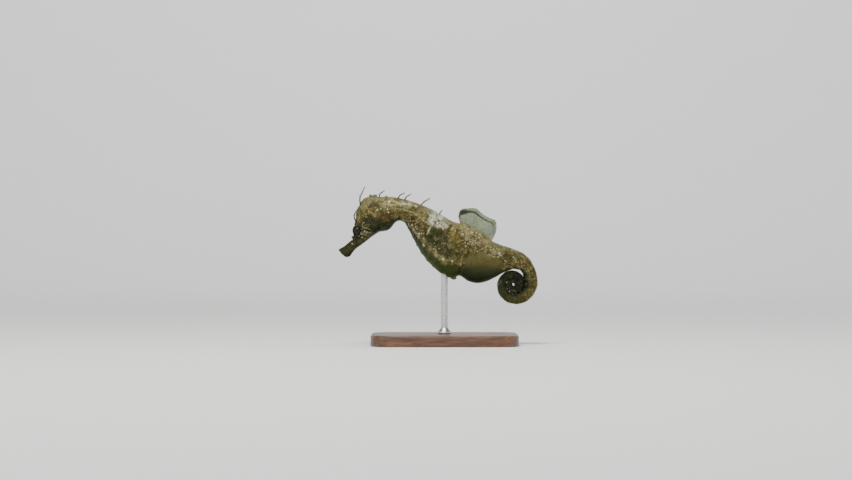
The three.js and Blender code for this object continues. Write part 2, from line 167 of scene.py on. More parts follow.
NAPE, VENT = along("nape"), along("vent")
TRUNK_RINGS, TAIL_RINGS, TAIL_SHRINK = 11, 36, 0.968
TRUNK_RIDGES, TAIL_RIDGES = (30, 90, 135, 180), (45, 135)


def ring_edges():
    trunk = [NAPE + (VENT - NAPE) * ring / TRUNK_RINGS for ring in range(TRUNK_RINGS)]
    whole = 1 - TAIL_SHRINK**TAIL_RINGS
    tail = [VENT + (SPINE_LENGTH - VENT) * (1 - TAIL_SHRINK**ring) / whole for ring in range(TAIL_RINGS + 1)]
    return np.array(trunk + tail)


edges = ring_edges()

# ---- the skin's grid

HEAD_STEP, TRUNK_STEP, TAIL_STEP, SPOKES = 0.11, 0.17, 0.14, 240


def row_places():
    head = np.arange(0.0, NAPE, HEAD_STEP)
    trunk = np.arange(NAPE, VENT, TRUNK_STEP)
    tail = np.arange(VENT, SPINE_LENGTH, TAIL_STEP)
    return np.concatenate([head, trunk, tail, [SPINE_LENGTH]])


ROWS = row_places()
TURN = np.arange(SPOKES) * 360.0 / SPOKES  # degrees round from the middle of the back
FOLDED = np.abs((TURN + 180) % 360 - 180)  # the same on both sides
along_grid, folded_grid = np.meshgrid(ROWS, FOLDED, indexing="ij")


def section_reach(cos, sin, depth, half_width, squareness):
    """How far a section's outline is from its middle."""
    return (np.abs(cos / depth) ** squareness + np.abs(sin / half_width) ** squareness) ** (-1 / squareness)


def swept_skin():
    middle, up, depth, width, lean = sections(ROWS)
    cos, sin = np.cos(np.radians(TURN)), np.sin(np.radians(TURN))
    half_width = width[:, None] * (1 + lean[:, None] * cos)
    squareness = np.where(ROWS > VENT, TAIL_SQUARENESS, TRUNK_SQUARENESS)[:, None]
    reach = section_reach(cos, sin, depth[:, None], half_width, squareness)
    end = np.clip(1 - ROWS / LIP, 0, 1)
    reach = reach * np.sqrt(1 - (LIP_CLOSING * end[:, None]) ** 2)
    across = np.array([0.0, 1.0, 0.0])
    skin = middle[:, None] + (reach * cos)[..., None] * up[:, None] + (reach * sin)[..., None] * across
    return skin, np.broadcast_to(depth[:, None], along_grid.shape)


def normals_of(skin):
    along_rows = np.gradient(skin, axis=0)
    round_spokes = np.roll(skin, -1, axis=1) - np.roll(skin, 1, axis=1)
    normal = np.cross(round_spokes, along_rows)
    normal /= np.maximum(np.linalg.norm(normal, axis=-1, keepdims=True), 1e-9)
    outward = np.sum(normal * (skin - skin.mean(axis=1, keepdims=True)))
    return normal if outward > 0 else -normal


def value_noise(points, size, seed):
    """Smooth noise from -1 to 1 with features about size millimetres across."""
    lattice = np.random.default_rng(seed).uniform(-1, 1, (32, 32, 32))
    at = points / size
    whole = np.floor(at).astype(int)
    share = smoothstep(0, 1, at - whole)
    total = np.zeros(points.shape[:-1])
    for corner in np.ndindex(2, 2, 2):
        index = (whole + corner) % 32
        weight = np.prod(np.where(np.array(corner) == 1, share, 1 - share), axis=-1)
        total += weight * lattice[index[..., 0], index[..., 1], index[..., 2]]
    return total


# ---- sculpting

EYE = np.array([-39.1, 2.75, 51.5])  # centre of the right eye; the left is its mirror image
EYE_RADIUS = 1.95
EYE_OPENING = 1.62
ORBIT_RIM = {"side": 3.3, "radius": 1.92, "thickness": 0.3, "extent": 5, "blend": 0.3}
MOST_RISE, SWELL_STEPS = 3.2, 36  # how high a form may raise the skin, and the steps that find how high
REACH = 3.5  # how far round a form the skin may move


def ellipsoid(points, centre, radii):
    """About how far the points are outside an ellipsoid."""
    scaled = (points - centre) / radii
    reach = np.linalg.norm(scaled, axis=-1)
    slope = np.linalg.norm(scaled / radii, axis=-1)
    return reach * (reach - 1) / np.maximum(slope, 1e-6)


def rod_between(points, start, end, start_radius, end_radius):
    """How far the points are outside a rod with round ends."""
    start, end = np.asarray(start, float), np.asarray(end, float)
    line = end - start
    share = np.clip((points - start) @ line / (line @ line), 0, 1)
    gap = np.linalg.norm(points - start - share[..., None] * line, axis=-1)
    return gap - (start_radius + share * (end_radius - start_radius))


def hoop(points, centre, radius, thickness):
    """How far the points are outside a ring round an axis along Y."""
    from_centre = points - centre
    ring = np.hypot(from_centre[..., 0], from_centre[..., 2]) - radius
    return np.hypot(ring, from_centre[..., 1]) - thickness


def swell(skin, normal, distance, centre, extent, blend):
    """Raises the skin over a form so that both are one smooth surface."""
    near = np.linalg.norm(skin - centre, axis=-1) < extent
    start, direction = skin[near], normal[near]
    rise = np.full(len(start), MOST_RISE)
    for _ in range(SWELL_STEPS):
        form = distance(start + rise[:, None] * direction)
        overlap = np.clip(blend - np.abs(rise - form), 0, None) / blend
        rise = rise - 0.85 * (np.minimum(rise, form) - overlap**2 * blend / 4)
    skin[near] = start + np.maximum(rise, 0)[:, None] * direction


def on_sides(*points):
    """The points on each side of the animal, or just once when all are in its middle plane."""
    points = np.array(points, float)
    for side in (-1, 1) if points[:, 1].any() else (1,):
        yield points * (1, side, 1)


def swell_ellipsoid(skin, normal, centre, radii, blend):
    radii = np.array(radii, float)
    for (middle,) in on_sides(centre):
        form = lambda points: ellipsoid(points, middle, radii)
        swell(skin, normal, form, middle, radii.max() + REACH, blend)


def swell_rod(skin, normal, start, end, radii, blend):
    for foot, top in on_sides(start, end):
        form = lambda points: rod_between(points, foot, top, *radii)
        extent = np.linalg.norm(top - foot) / 2 + max(radii) + REACH
        swell(skin, normal, form, (foot + top) / 2, extent, blend)


def distance_to_path(points, path):
    return np.min([rod_between(points, *ends, 0, 0) for ends in zip(path, path[1:])], axis=0)


# Bone and flesh under the skin of the head: centre and radii on the right side, and the blend.
HEAD_FORMS = [
    ("cheek", (-34.2, 3.0, 52.4), (4.0, 2.15, 3.2), 1.2),
    ("gill_cover", (-27.4, 3.6, 58.0), (3.9, 2.3, 5.2), 0.7),
    ("orbit", (EYE[0] + 0.15, 2.1, EYE[2]), (2.4, 1.6, 2.55), 0.8),
    ("lower_jaw", (-43.6, 0.0, 40.6), (1.5, 1.3, 0.9), 0.7),
    ("fin_root", (-24.2, 4.1, 59.7), (0.9, 0.75, 2.1), 0.7),
]
# Ridges of bone: start and end on the right side, their radii, and the blend.
RIDGE_FORMS = [
    ("temple_ridge", (-37.3, 3.5, 54.4), (-30.4, 4.0, 62.6), 0.75, 0.6, 0.9),
    ("cheek_ridge", (-36.6, 3.7, 50.2), (-30.0, 4.7, 53.4), 0.6, 0.5, 0.9),
    ("forehead_ridge", (-40.0, 0.0, 54.2), (-38.2, 0.0, 61.6), 0.5, 0.8, 0.8),
    ("nape_ridge", (-31.0, 0.0, 65.6), (-21.0, 0.0, 65.5), 0.7, 0.5, 0.9),
    ("snout_ridge", (-41.6, 1.3, 46.6), (-45.4, 1.1, 43.4), 0.6, 0.5, 0.7),
    ("brow_spine", (-39.0, 2.6, 53.8), (-38.7, 3.1, 55.6), 0.75, 0.2, 0.7),
    ("cheek_spine", (-32.6, 3.9, 51.0), (-31.8, 5.3, 50.0), 0.8, 0.2, 0.7),
    ("jaw_spine", (-29.6, 3.6, 52.3), (-29.1, 4.9, 51.2), 0.7, 0.18, 0.7),
    ("temple_spine", (-31.6, 3.4, 62.6), (-31.3, 4.9, 63.5), 0.7, 0.2, 0.7),
    ("nose_spine", (-40.9, 0.0, 48.3), (-41.7, 0.0, 48.7), 0.6, 0.2, 0.7),
    ("nape_spine", (-26.4, 0.0, 65.9), (-26.1, 0.0, 67.1), 0.7, 0.2, 0.8),
    ("dorsal_fin_root", (8.4, 0.0, 53.9), (18.6, 0.0, 48.0), 1.15, 1.35, 1.4),
]
CORONET = {
    "x": -32.3, "z": 65.9, "lean": 4, "spread": 1.4, "height": 1.7, "points": 5, "turned": 0.3,
    "radii": (0.8, 0.28), "extent": 4.6, "blend": 0.7,
}


def sculpt_head(skin, normal):
    for _, centre, radii, blend in HEAD_FORMS:
        swell_ellipsoid(skin, normal, centre, radii, blend)
    for _, start, end, *radii, blend in RIDGE_FORMS:
        swell_rod(skin, normal, start, end, radii, blend)
    rim = ORBIT_RIM
    for (centre,) in on_sides((EYE[0], rim["side"], EYE[2])):
        form = lambda points: hoop(points, centre, rim["radius"], rim["thickness"])
        swell(skin, normal, form, centre, rim["extent"], rim["blend"])


def sculpt_coronet(skin, normal):
    crown = CORONET
    lean = math.radians(crown["lean"])
    foot = np.array([crown["x"], 0.0, crown["z"]])
    rise = np.array([math.sin(lean), 0.0, math.cos(lean)]) * crown["height"]
    for number in range(crown["points"]):
        angle = 2 * math.pi * number / crown["points"] + crown["turned"]
        out = np.array([math.cos(angle), math.sin(angle), 0.0]) * crown["spread"]
        start, end = foot + 0.5 * out, foot + 1.15 * out + rise
        form = lambda points: rod_between(points, start, end, *crown["radii"])
        swell(skin, normal, form, (start + end) / 2, crown["extent"], crown["blend"])


def open_eyes(skin):
    """Turns the skin in round each eyeball, so that its rim lies on the ball."""
    for side in (-1, 1):
        centre = EYE * (1, side, 1)
        radius = np.hypot(skin[..., 0] - centre[0], skin[..., 2] - centre[2])
        inside = (radius < EYE_OPENING + 0.3) & (skin[..., 1] * side > 1.0)
        share = fade(EYE_OPENING - 0.12, EYE_OPENING + 0.12, radius[inside])
        deep = side * (centre[1] * side - 0.3)
        skin[inside, 1] = skin[inside, 1] * (1 - share) + deep * share


# Grooves: path on the right side, half width and depth.
GROOVES = [
    ("nostril", [(-41.2, 1.7, 49.2), (-40.7, 2.0, 49.5)], 0.2, 0.3),
    ("mouth", [(-47.4, 0.0, 41.9), (-46.9, 1.2, 41.6), (-45.7, 1.9, 41.4)], 0.24, 0.42),
    ("jaw", [(-45.7, 1.9, 41.4), (-43.6, 1.9, 42.0), (-41.6, 2.0, 43.8)], 0.3, 0.14),
    (
        "gill_edge",
        [(-25.6, 4.6, 63.6), (-24.0, 4.9, 61.4), (-23.4, 4.9, 58.0), (-24.2, 4.2, 54.6), (-27.0, 3.0, 52.4)],
        0.34, 0.4,
    ),
    ("gill_front", [(-29.8, 5.0, 62.6), (-31.4, 5.2, 58.6), (-30.6, 5.0, 54.8)], 0.4, 0.2),
    ("eye_fold", [(-37.4, 3.6, 49.3), (-36.2, 3.7, 51.3), (-36.5, 3.7, 53.5)], 0.3, 0.16),
    ("pouch_lip", [(7.6, 0.0, 31.6), (9.2, 1.2, 31.2)], 0.4, 0.4),
]


def carve_grooves(skin, normal):
    for _, path, half_width, depth in GROOVES:
        for points in on_sides(*path):
            near = np.linalg.norm(skin - points.mean(axis=0), axis=-1) < np.ptp(points, axis=0).max() + 2
            groove = depth * bell(distance_to_path(skin[near], points), half_width)
            skin[near] -= groove[:, None] * normal[near]


# ---- fine relief of the head

GILL_FAN = {"x": -31.2, "z": 56.2, "start": 1.0, "end": 7.0, "lines": 34, "relief": 0.075}
EYE_FOLDS = {"first": 2.15, "spacing": 0.5, "last": 3.5, "relief": 0.07}
WART_SPACING, WART_HEIGHT = 0.62, 0.07


def gill_fan(skin):
    """Fine ridges that spread over the gill cover from its front end."""
    fan = GILL_FAN
    dx, dz = skin[..., 0] - fan["x"], skin[..., 2] - fan["z"]
    away = np.hypot(dx, dz)
    share = smoothstep(fan["start"], fan["start"] + 1.2, away)
    share *= fade(fan["end"] - 1.6, fan["end"], away)
    share *= smoothstep(-0.6, 0.6, dx) * smoothstep(24, 40, folded_grid) * (along_grid < NAPE)
    return fan["relief"] * share * np.cos(np.arctan2(dz, dx) * fan["lines"])


def eye_folds(skin):
    """Rings of wrinkles round the orbit, strongest behind it."""
    away = np.hypot(skin[..., 0] - EYE[0], skin[..., 2] - EYE[2])
    first = EYE_FOLDS["first"]
    share = smoothstep(first - 0.2, first + 0.1, away) * fade(first + 0.4, EYE_FOLDS["last"], away)
    wave = np.cos((away - first) * 2 * math.pi / EYE_FOLDS["spacing"])
    return -EYE_FOLDS["relief"] * share * wave * (np.abs(skin[..., 1]) > 1.2)


def warts(skin):
    """A pebbled grain of small round warts."""
    nearest, _ = cells(skin, WART_SPACING, 41)
    strength = 0.55 + 0.45 * value_noise(skin, 2.4, 42)
    return WART_HEIGHT * strength * fade(0.1, 0.45, nearest)


# ---- rings, ridges and tubercles

POUCH = {"x": 16.9, "z": 30.4, "radius": 12.0}
VALLEY, RIDGE, RIDGE_KNOT, RIDGE_WIDTH = 0.42, 0.2, 0.36, 4.2  # the width in degrees round
HOOP, HOOP_FOOT, HOOP_WIDTH = 0.38, 0.17, 0.2  # the width as a share of the ring
TUBERCLE_RADIUS, TUBERCLE_HEIGHT, TALLER = 0.62, 0.6, 1.35  # taller on every third ring
BELLY_KEEL, BELLY_TUBERCLE = 0.2, 0.08  # how much of a ridge and of its tubercles the belly has
BUMP_REACH = 14  # rows and spokes that a bump spans to each side of its middle


def pouch_share(skin):
    """1 on the smooth brood pouch and 0 off it."""
    away = np.hypot(skin[..., 0] - POUCH["x"], skin[..., 2] - POUCH["z"]) / POUCH["radius"]
    on_tail = smoothstep(VENT - 1.5, VENT + 1.0, along_grid) * (along_grid < along("tail"))
    return fade(0.68, 1.04, away) * on_tail


def ring_share(places):
    """How far on in its own ring each place is, from 0 to 1, and half on the head."""
    index = np.clip(np.searchsorted(edges, places, side="right") - 1, 0, len(edges) - 2)
    return np.where(places < NAPE, 0.5, (places - edges[index]) / (edges[index + 1] - edges[index]))


def plate_relief(depth, pouch):
    """Ridges, the valleys between them and a hoop on each ring, lower where the body is slender."""
    slender = np.clip(depth / 5.5, 0.2, 1)
    tail = smoothstep(VENT - 3, VENT + 3, along_grid)
    body = smoothstep(NAPE - 1, NAPE + 6, along_grid) * (1 - 0.92 * pouch)
    crest = bell(ring_share(along_grid) - 0.5, HOOP_WIDTH)
    relief = np.zeros_like(along_grid)
    for ridges, share in ((TRUNK_RIDGES, 1 - tail), (TAIL_RIDGES, tail)):
        for low, high in zip(ridges, ridges[1:]):
            relief -= share * VALLEY * np.sin(np.pi * np.clip((folded_grid - low) / (high - low), 0, 1))
        for ridge in ridges:
            keel = BELLY_KEEL if ridge == 180 else 1.0
            relief += share * keel * bell(folded_grid - ridge, RIDGE_WIDTH) * (RIDGE + RIDGE_KNOT * crest)
    hoops = (HOOP * crest - HOOP_FOOT) * smoothstep(4, 22, folded_grid) * fade(150, 172, folded_grid)
    return (relief + hoops) * body * slender


def tubercles():
    """Blunt spines where rings cross ridges: place along, degrees round, side, radius and height."""
    depths = sections(ROWS)[2]
    for ring, (start, end) in enumerate(zip(edges, edges[1:])):
        place = (start + end) / 2
        size = min(1.0, 0.22 + float(np.interp(place, ROWS, depths)) / 11)
        for ridge in TAIL_RIDGES if place > VENT else TRUNK_RIDGES:
            for side in (-1, 1):
                tall = TALLER if ring % 3 == 1 else 1.0
                low = BELLY_TUBERCLE if ridge == 180 else 1.0
                height = TUBERCLE_HEIGHT * low * size * tall * CHANCE.uniform(0.75, 1.2)
                yield place, ridge, side, TUBERCLE_RADIUS * size, height


def local_bumps(places, skin):
    """The height of round bumps at every place of the grid, and how much each place is on one."""
    height = np.zeros(along_grid.shape)
    share = np.zeros(along_grid.shape)
    for place, degrees, side, radius, rise in places:
        row = int(np.searchsorted(ROWS, place))
        column = int(round((degrees if side > 0 else 360 - degrees) / 360 * SPOKES))
        rows = np.arange(max(row - BUMP_REACH, 0), min(row + BUMP_REACH + 1, len(ROWS)))
        columns = np.arange(column - BUMP_REACH, column + BUMP_REACH + 1) % SPOKES
        patch = np.ix_(rows, columns)
        centre = skin[min(row, len(ROWS) - 1), column % SPOKES]
        form = bell(np.linalg.norm(skin[patch] - centre, axis=-1), radius)
        height[patch] += rise * form
        share[patch] = np.maximum(share[patch], form)
    return height, share


# ---- markings

# sRGB
CREAM, WHITE, PALE_OLIVE = (0.65, 0.61, 0.43), (0.84, 0.85, 0.78), (0.45, 0.42, 0.25)
GOLD, OLIVE, BROWN = (0.43, 0.37, 0.14), (0.30, 0.275, 0.11), (0.26, 0.195, 0.075)
RED_BROWN, DARK_OLIVE, DARK_GREEN = (0.36, 0.21, 0.08), (0.13, 0.165, 0.035), (0.06, 0.115, 0.02)
BLACK_GREEN, GREY_OLIVE, FIN_GREEN = (0.02, 0.045, 0.012), (0.34, 0.31, 0.17), (0.38, 0.45, 0.22)
LEAF_GREEN, DOT_CREAM = (0.19, 0.27, 0.07), (0.76, 0.71, 0.54)

# Soft patches on the side: x, z, half length, half height, degrees of tilt, colour, strength.
PATCHES = [
    ("crown", -31.5, 64.4, 6.4, 2.6, 6, PALE_OLIVE, 0.9),
    ("crown_rear", -25.2, 64.2, 4.2, 2.2, 0, CREAM, 0.75),
    ("forehead", -36.6, 61.4, 2.6, 3.4, -30, PALE_OLIVE, 0.6),
    ("temple", -31.4, 60.4, 5.4, 1.9, 4, GOLD, 0.7),
    ("brow_gold", -37.9, 56.6, 1.7, 1.9, 0, GOLD, 0.75),
    ("head_middle", -33.8, 56.6, 4.4, 2.5, 0, DARK_GREEN, 0.95),
    ("gill_cover", -27.4, 57.2, 4.6, 3.4, -14, BROWN, 0.95),
    ("head_shade", -34.4, 56.0, 3.0, 1.7, -8, BLACK_GREEN, 0.7),
    ("jaw_shade", -28.4, 53.8, 3.6, 1.5, 8, DARK_GREEN, 0.85),
    ("gill_flush", -24.8, 57.2, 3.0, 2.0, 0, RED_BROWN, 0.5),
    ("brow_brown", -37.6, 56.2, 1.7, 1.6, 20, BROWN, 0.8),
    ("cheek", -32.4, 52.6, 7.0, 3.9, 24, DARK_GREEN, 0.95),
    ("cheek_shade", -33.2, 52.6, 4.4, 2.2, 24, BLACK_GREEN, 0.6),
    ("face", -38.8, 50.0, 4.8, 5.2, 0, DARK_GREEN, 1.0),
    ("eye_surround", -39.2, 51.3, 3.2, 3.3, 0, BLACK_GREEN, 0.95),
    ("neck_top", -18.4, 63.6, 6.0, 1.9, -4, CREAM, 0.85),
    ("throat", -19.2, 58.3, 4.6, 1.5, -4, GOLD, 0.75),
    ("shoulder", -9.6, 59.6, 5.8, 3.0, -30, PALE_OLIVE, 0.95),
    ("throat_shade", -15.6, 55.0, 2.8, 1.7, -30, OLIVE, 0.75),
    ("breast", -12.6, 53.4, 3.0, 6.4, 40, BROWN, 0.85),
    ("saddle", -2.6, 58.6, 4.7, 3.2, -32, WHITE, 1.0),
    ("saddle_foot", -3.0, 54.6, 4.8, 1.7, -12, WHITE, 0.9),
    ("saddle_edge", -5.6, 57.4, 2.6, 1.2, 60, WHITE, 0.8),
    ("shadow", -3.4, 48.2, 6.0, 5.2, -8, DARK_OLIVE, 1.0),
    ("shadow_heart", -0.4, 46.4, 2.4, 2.5, 0, BLACK_GREEN, 0.6),
    ("shadow_warm", 0.2, 50.6, 2.5, 1.8, 0, BROWN, 0.6),
    ("gold_band", 4.6, 49.4, 1.9, 5.0, 16, GOLD, 0.95),
    ("belly_middle", 0.6, 41.8, 4.4, 2.8, -20, DARK_OLIVE, 0.7),
    ("belly_pale", -1.6, 38.6, 5.6, 1.5, -38, CREAM, 0.6),
    ("belly_gold", 3.6, 35.0, 3.8, 1.5, -24, GOLD, 0.7),
    ("rear_back", 7.6, 52.8, 4.6, 1.8, -16, PALE_OLIVE, 0.8),
    ("rear_side", 13.4, 47.0, 5.4, 3.6, -22, BROWN, 0.8),
    ("tail_back", 23.6, 43.6, 5.4, 1.3, -16, PALE_OLIVE, 0.5),
    ("tail_side", 20.4, 41.6, 6.4, 2.2, -14, OLIVE, 0.6),
    ("tail_smooth", 28.4, 39.8, 4.0, 3.2, -16, OLIVE, 0.8),
    ("tail_flush", 31.8, 35.4, 3.4, 1.2, 0, RED_BROWN, 0.7),
    ("tail_flush_outer", 35.6, 37.4, 2.2, 1.2, -40, RED_BROWN, 0.6),
    ("tail_pale", 35.4, 39.0, 1.7, 1.0, -42, CREAM, 0.6),
]
# Fine pale lines: path on the side, half width, colour and strength.
LINES = [
    ("saddle_line", [(-4.4, 56.2), (-6.2, 53.0), (-8.0, 49.8)], 0.2, WHITE, 0.95),
    (
        "neck_line",
        [(-20.0, 61.0), (-15.4, 60.0), (-12.2, 58.4), (-9.2, 55.9), (-6.5, 54.1)],
        0.3, CREAM, 0.8,
    ),
    ("neck_top_line", [(-20.0, 63.6), (-16.0, 63.4), (-12.6, 62.4)], 0.32, WHITE, 0.7),
    ("throat_line", [(-19.6, 57.0), (-17.6, 55.8)], 0.28, CREAM, 0.85),
    ("temple_line", [(-33.8, 59.9), (-31.4, 59.4)], 0.18, CREAM, 0.85),
    ("temple_line_low", [(-32.0, 57.9), (-30.6, 58.5)], 0.17, CREAM, 0.8),
    ("temple_line_grey", [(-36.0, 57.6), (-34.0, 57.9)], 0.3, CREAM, 0.55),
    ("temple_dash", [(-23.4, 61.4), (-20.6, 61.2)], 0.28, CREAM, 0.8),
    ("brow_line", [(-38.6, 58.6), (-38.8, 56.8)], 0.26, CREAM, 0.85),
    ("eye_ray_upper", [(-35.6, 53.8), (-34.2, 54.3), (-32.8, 54.3), (-31.6, 53.6)], 0.12, PALE_OLIVE, 0.6),
    ("eye_ray_middle", [(-37.4, 53.6), (-35.9, 53.0), (-34.6, 52.6), (-32.9, 52.1)], 0.13, CREAM, 0.75),
    ("eye_ray_lower", [(-34.2, 50.7), (-33.0, 50.6)], 0.17, CREAM, 0.75),
    ("eye_ray_back", [(-36.8, 54.0), (-36.5, 55.0)], 0.2, CREAM, 0.7),
    ("cheek_ray", [(-36.0, 49.6), (-34.4, 48.8)], 0.14, PALE_OLIVE, 0.5),
    ("cheek_ray_low", [(-37.2, 48.2), (-35.6, 47.4)], 0.14, PALE_OLIVE, 0.5),
    ("snout_line", [(-41.4, 45.6), (-40.4, 45.1)], 0.22, CREAM, 0.6),
]
# Bright spots, each a little raised: x, z, radius and strength.
SPOTS = [
    (-30.1, 60.8, 0.46, 1.0), (-28.5, 61.1, 0.34, 0.8), (-25.5, 60.9, 0.42, 1.0), (-25.1, 59.5, 0.46, 1.0),
    (-34.0, 60.1, 0.3, 0.7), (-36.0, 55.1, 0.3, 0.6), (-35.8, 51.2, 0.34, 0.95), (-37.2, 49.8, 0.32, 1.0),
    (-37.2, 48.4, 0.28, 0.6), (-41.3, 47.6, 0.3, 0.9), (-41.4, 45.6, 0.34, 0.8), (-24.8, 64.4, 0.8, 0.9),
    (-21.4, 63.9, 0.5, 0.8), (-18.4, 63.5, 0.6, 0.8), (-16.1, 54.2, 0.36, 1.0), (-14.1, 52.0, 0.34, 0.8),
    (-12.7, 50.1, 0.42, 0.9), (-11.4, 50.0, 0.42, 0.9), (-12.0, 48.9, 0.36, 0.8), (-9.4, 47.9, 0.34, 0.9),
    (-9.3, 45.0, 0.9, 1.0), (-4.9, 43.3, 0.36, 0.8), (-2.6, 43.3, 0.3, 0.6), (-0.8, 38.6, 0.62, 1.0),
    (3.5, 37.9, 0.46, 0.9), (-4.2, 40.6, 0.5, 0.6), (-0.7, 52.2, 0.4, 0.9), (1.2, 53.1, 0.36, 0.8),
    (0.3, 54.1, 0.36, 0.8), (-3.1, 47.7, 0.26, 0.6), (-4.5, 45.8, 0.28, 0.6), (4.9, 51.2, 0.36, 0.9),
    (9.1, 53.1, 0.36, 0.7), (10.3, 52.1, 0.5, 1.0), (9.6, 50.9, 0.46, 1.0), (8.2, 49.7, 0.4, 0.9),
    (9.1, 46.1, 0.34, 0.9), (11.3, 46.6, 0.3, 0.8), (12.6, 50.6, 0.4, 1.0), (14.2, 50.5, 0.4, 1.0),
    (15.8, 49.8, 0.4, 0.9), (13.8, 49.1, 0.38, 0.9), (13.6, 46.9, 0.32, 0.8), (14.6, 42.2, 0.4, 0.7),
    (24.2, 41.3, 0.46, 1.0), (22.2, 39.8, 0.4, 0.8), (27.2, 37.9, 0.42, 0.6), (30.8, 39.5, 0.36, 0.8),
    (27.8, 28.3, 0.5, 0.9), (27.8, 26.8, 0.46, 0.8), (28.2, 25.3, 0.54, 1.0), (29.2, 24.1, 0.56, 1.0),
    (30.5, 23.1, 0.4, 0.5), (-41.8, 49.0, 0.45, 0.9),
]
# Where the skin has fine pale dots: x, z, half length, half height, degrees of tilt and strength.
DOTTED = [
    (12.6, 47.6, 7.4, 4.8, -24, 1.0), (21.6, 41.8, 5.8, 2.8, -20, 1.0), (-12.6, 52.0, 2.6, 7.0, 40, 0.85),
    (-3.0, 44.4, 6.0, 4.4, 0, 0.45), (-21.6, 62.0, 7.0, 2.6, 0, 0.5), (2.4, 52.6, 4.0, 2.2, -20, 0.7),
    (33.6, 38.0, 4.0, 2.6, -40, 0.5), (-36.4, 50.2, 3.0, 3.4, 0, 0.5), (-33.0, 62.0, 5.0, 2.4, 0, 0.35),
]
DOT_SPACING, DOT_SIZE = 1.25, 0.29  # mm, and a share of the spacing
DOT_RISE, SPOT_RISE = 0.07, 0.16


def linear(colour):
    shades = np.asarray(colour, float)
    return np.where(shades <= 0.04045, shades / 12.92, ((shades + 0.055) / 1.055) ** 2.4)


def paint(colours, colour, strength):
    colours += (linear(colour) - colours) * np.clip(strength, 0, 1)[..., None]


def patch_share(x, z, centre_x, centre_z, half_length, half_height, tilt):
    angle = math.radians(tilt)
    dx, dz = x - centre_x, z - centre_z
    across = (dx * math.cos(angle) + dz * math.sin(angle)) / half_length
    upright = (dz * math.cos(angle) - dx * math.sin(angle)) / half_height
    return fade(0.45, 1.25, np.hypot(across, upright))


def cells(points, size, seed):
    """Distances to the nearest two of a jittered lattice of points, as shares of its cell's size."""
    shifts = np.random.default_rng(seed).uniform(0.12, 0.88, (16, 16, 16, 3))
    at = points / size
    whole = np.floor(at).astype(int)
    first = np.full(points.shape[:-1], 9.0)
    second = first.copy()
    for step in np.ndindex(3, 3, 3):
        cell = whole + np.array(step) - 1
        index = cell % 16
        gap = np.linalg.norm(cell + shifts[index[..., 0], index[..., 1], index[..., 2]] - at, axis=-1)
        second = np.minimum(second, np.maximum(first, gap))
        first = np.minimum(first, gap)
    return first, second


def dotted_share(x, z):
    return np.max([strength * patch_share(x, z, *oval) for *oval, strength in DOTTED], axis=0)


def spot_share(skin):
    """Bright spots, on both sides of the animal."""
    share = np.zeros(along_grid.shape)
    for x, z, radius, strength in SPOTS:
        off = np.hypot(skin[..., 0] - x, skin[..., 2] - z)
        for side in (-1, 1):
            centre = skin.reshape(-1, 3)[np.argmin(off + 99 * (skin[..., 1] * side < 0))]
            away = np.linalg.norm(skin - centre, axis=-1)
            share = np.maximum(share, strength * fade(0.5, 1.0, away / radius))
    return share


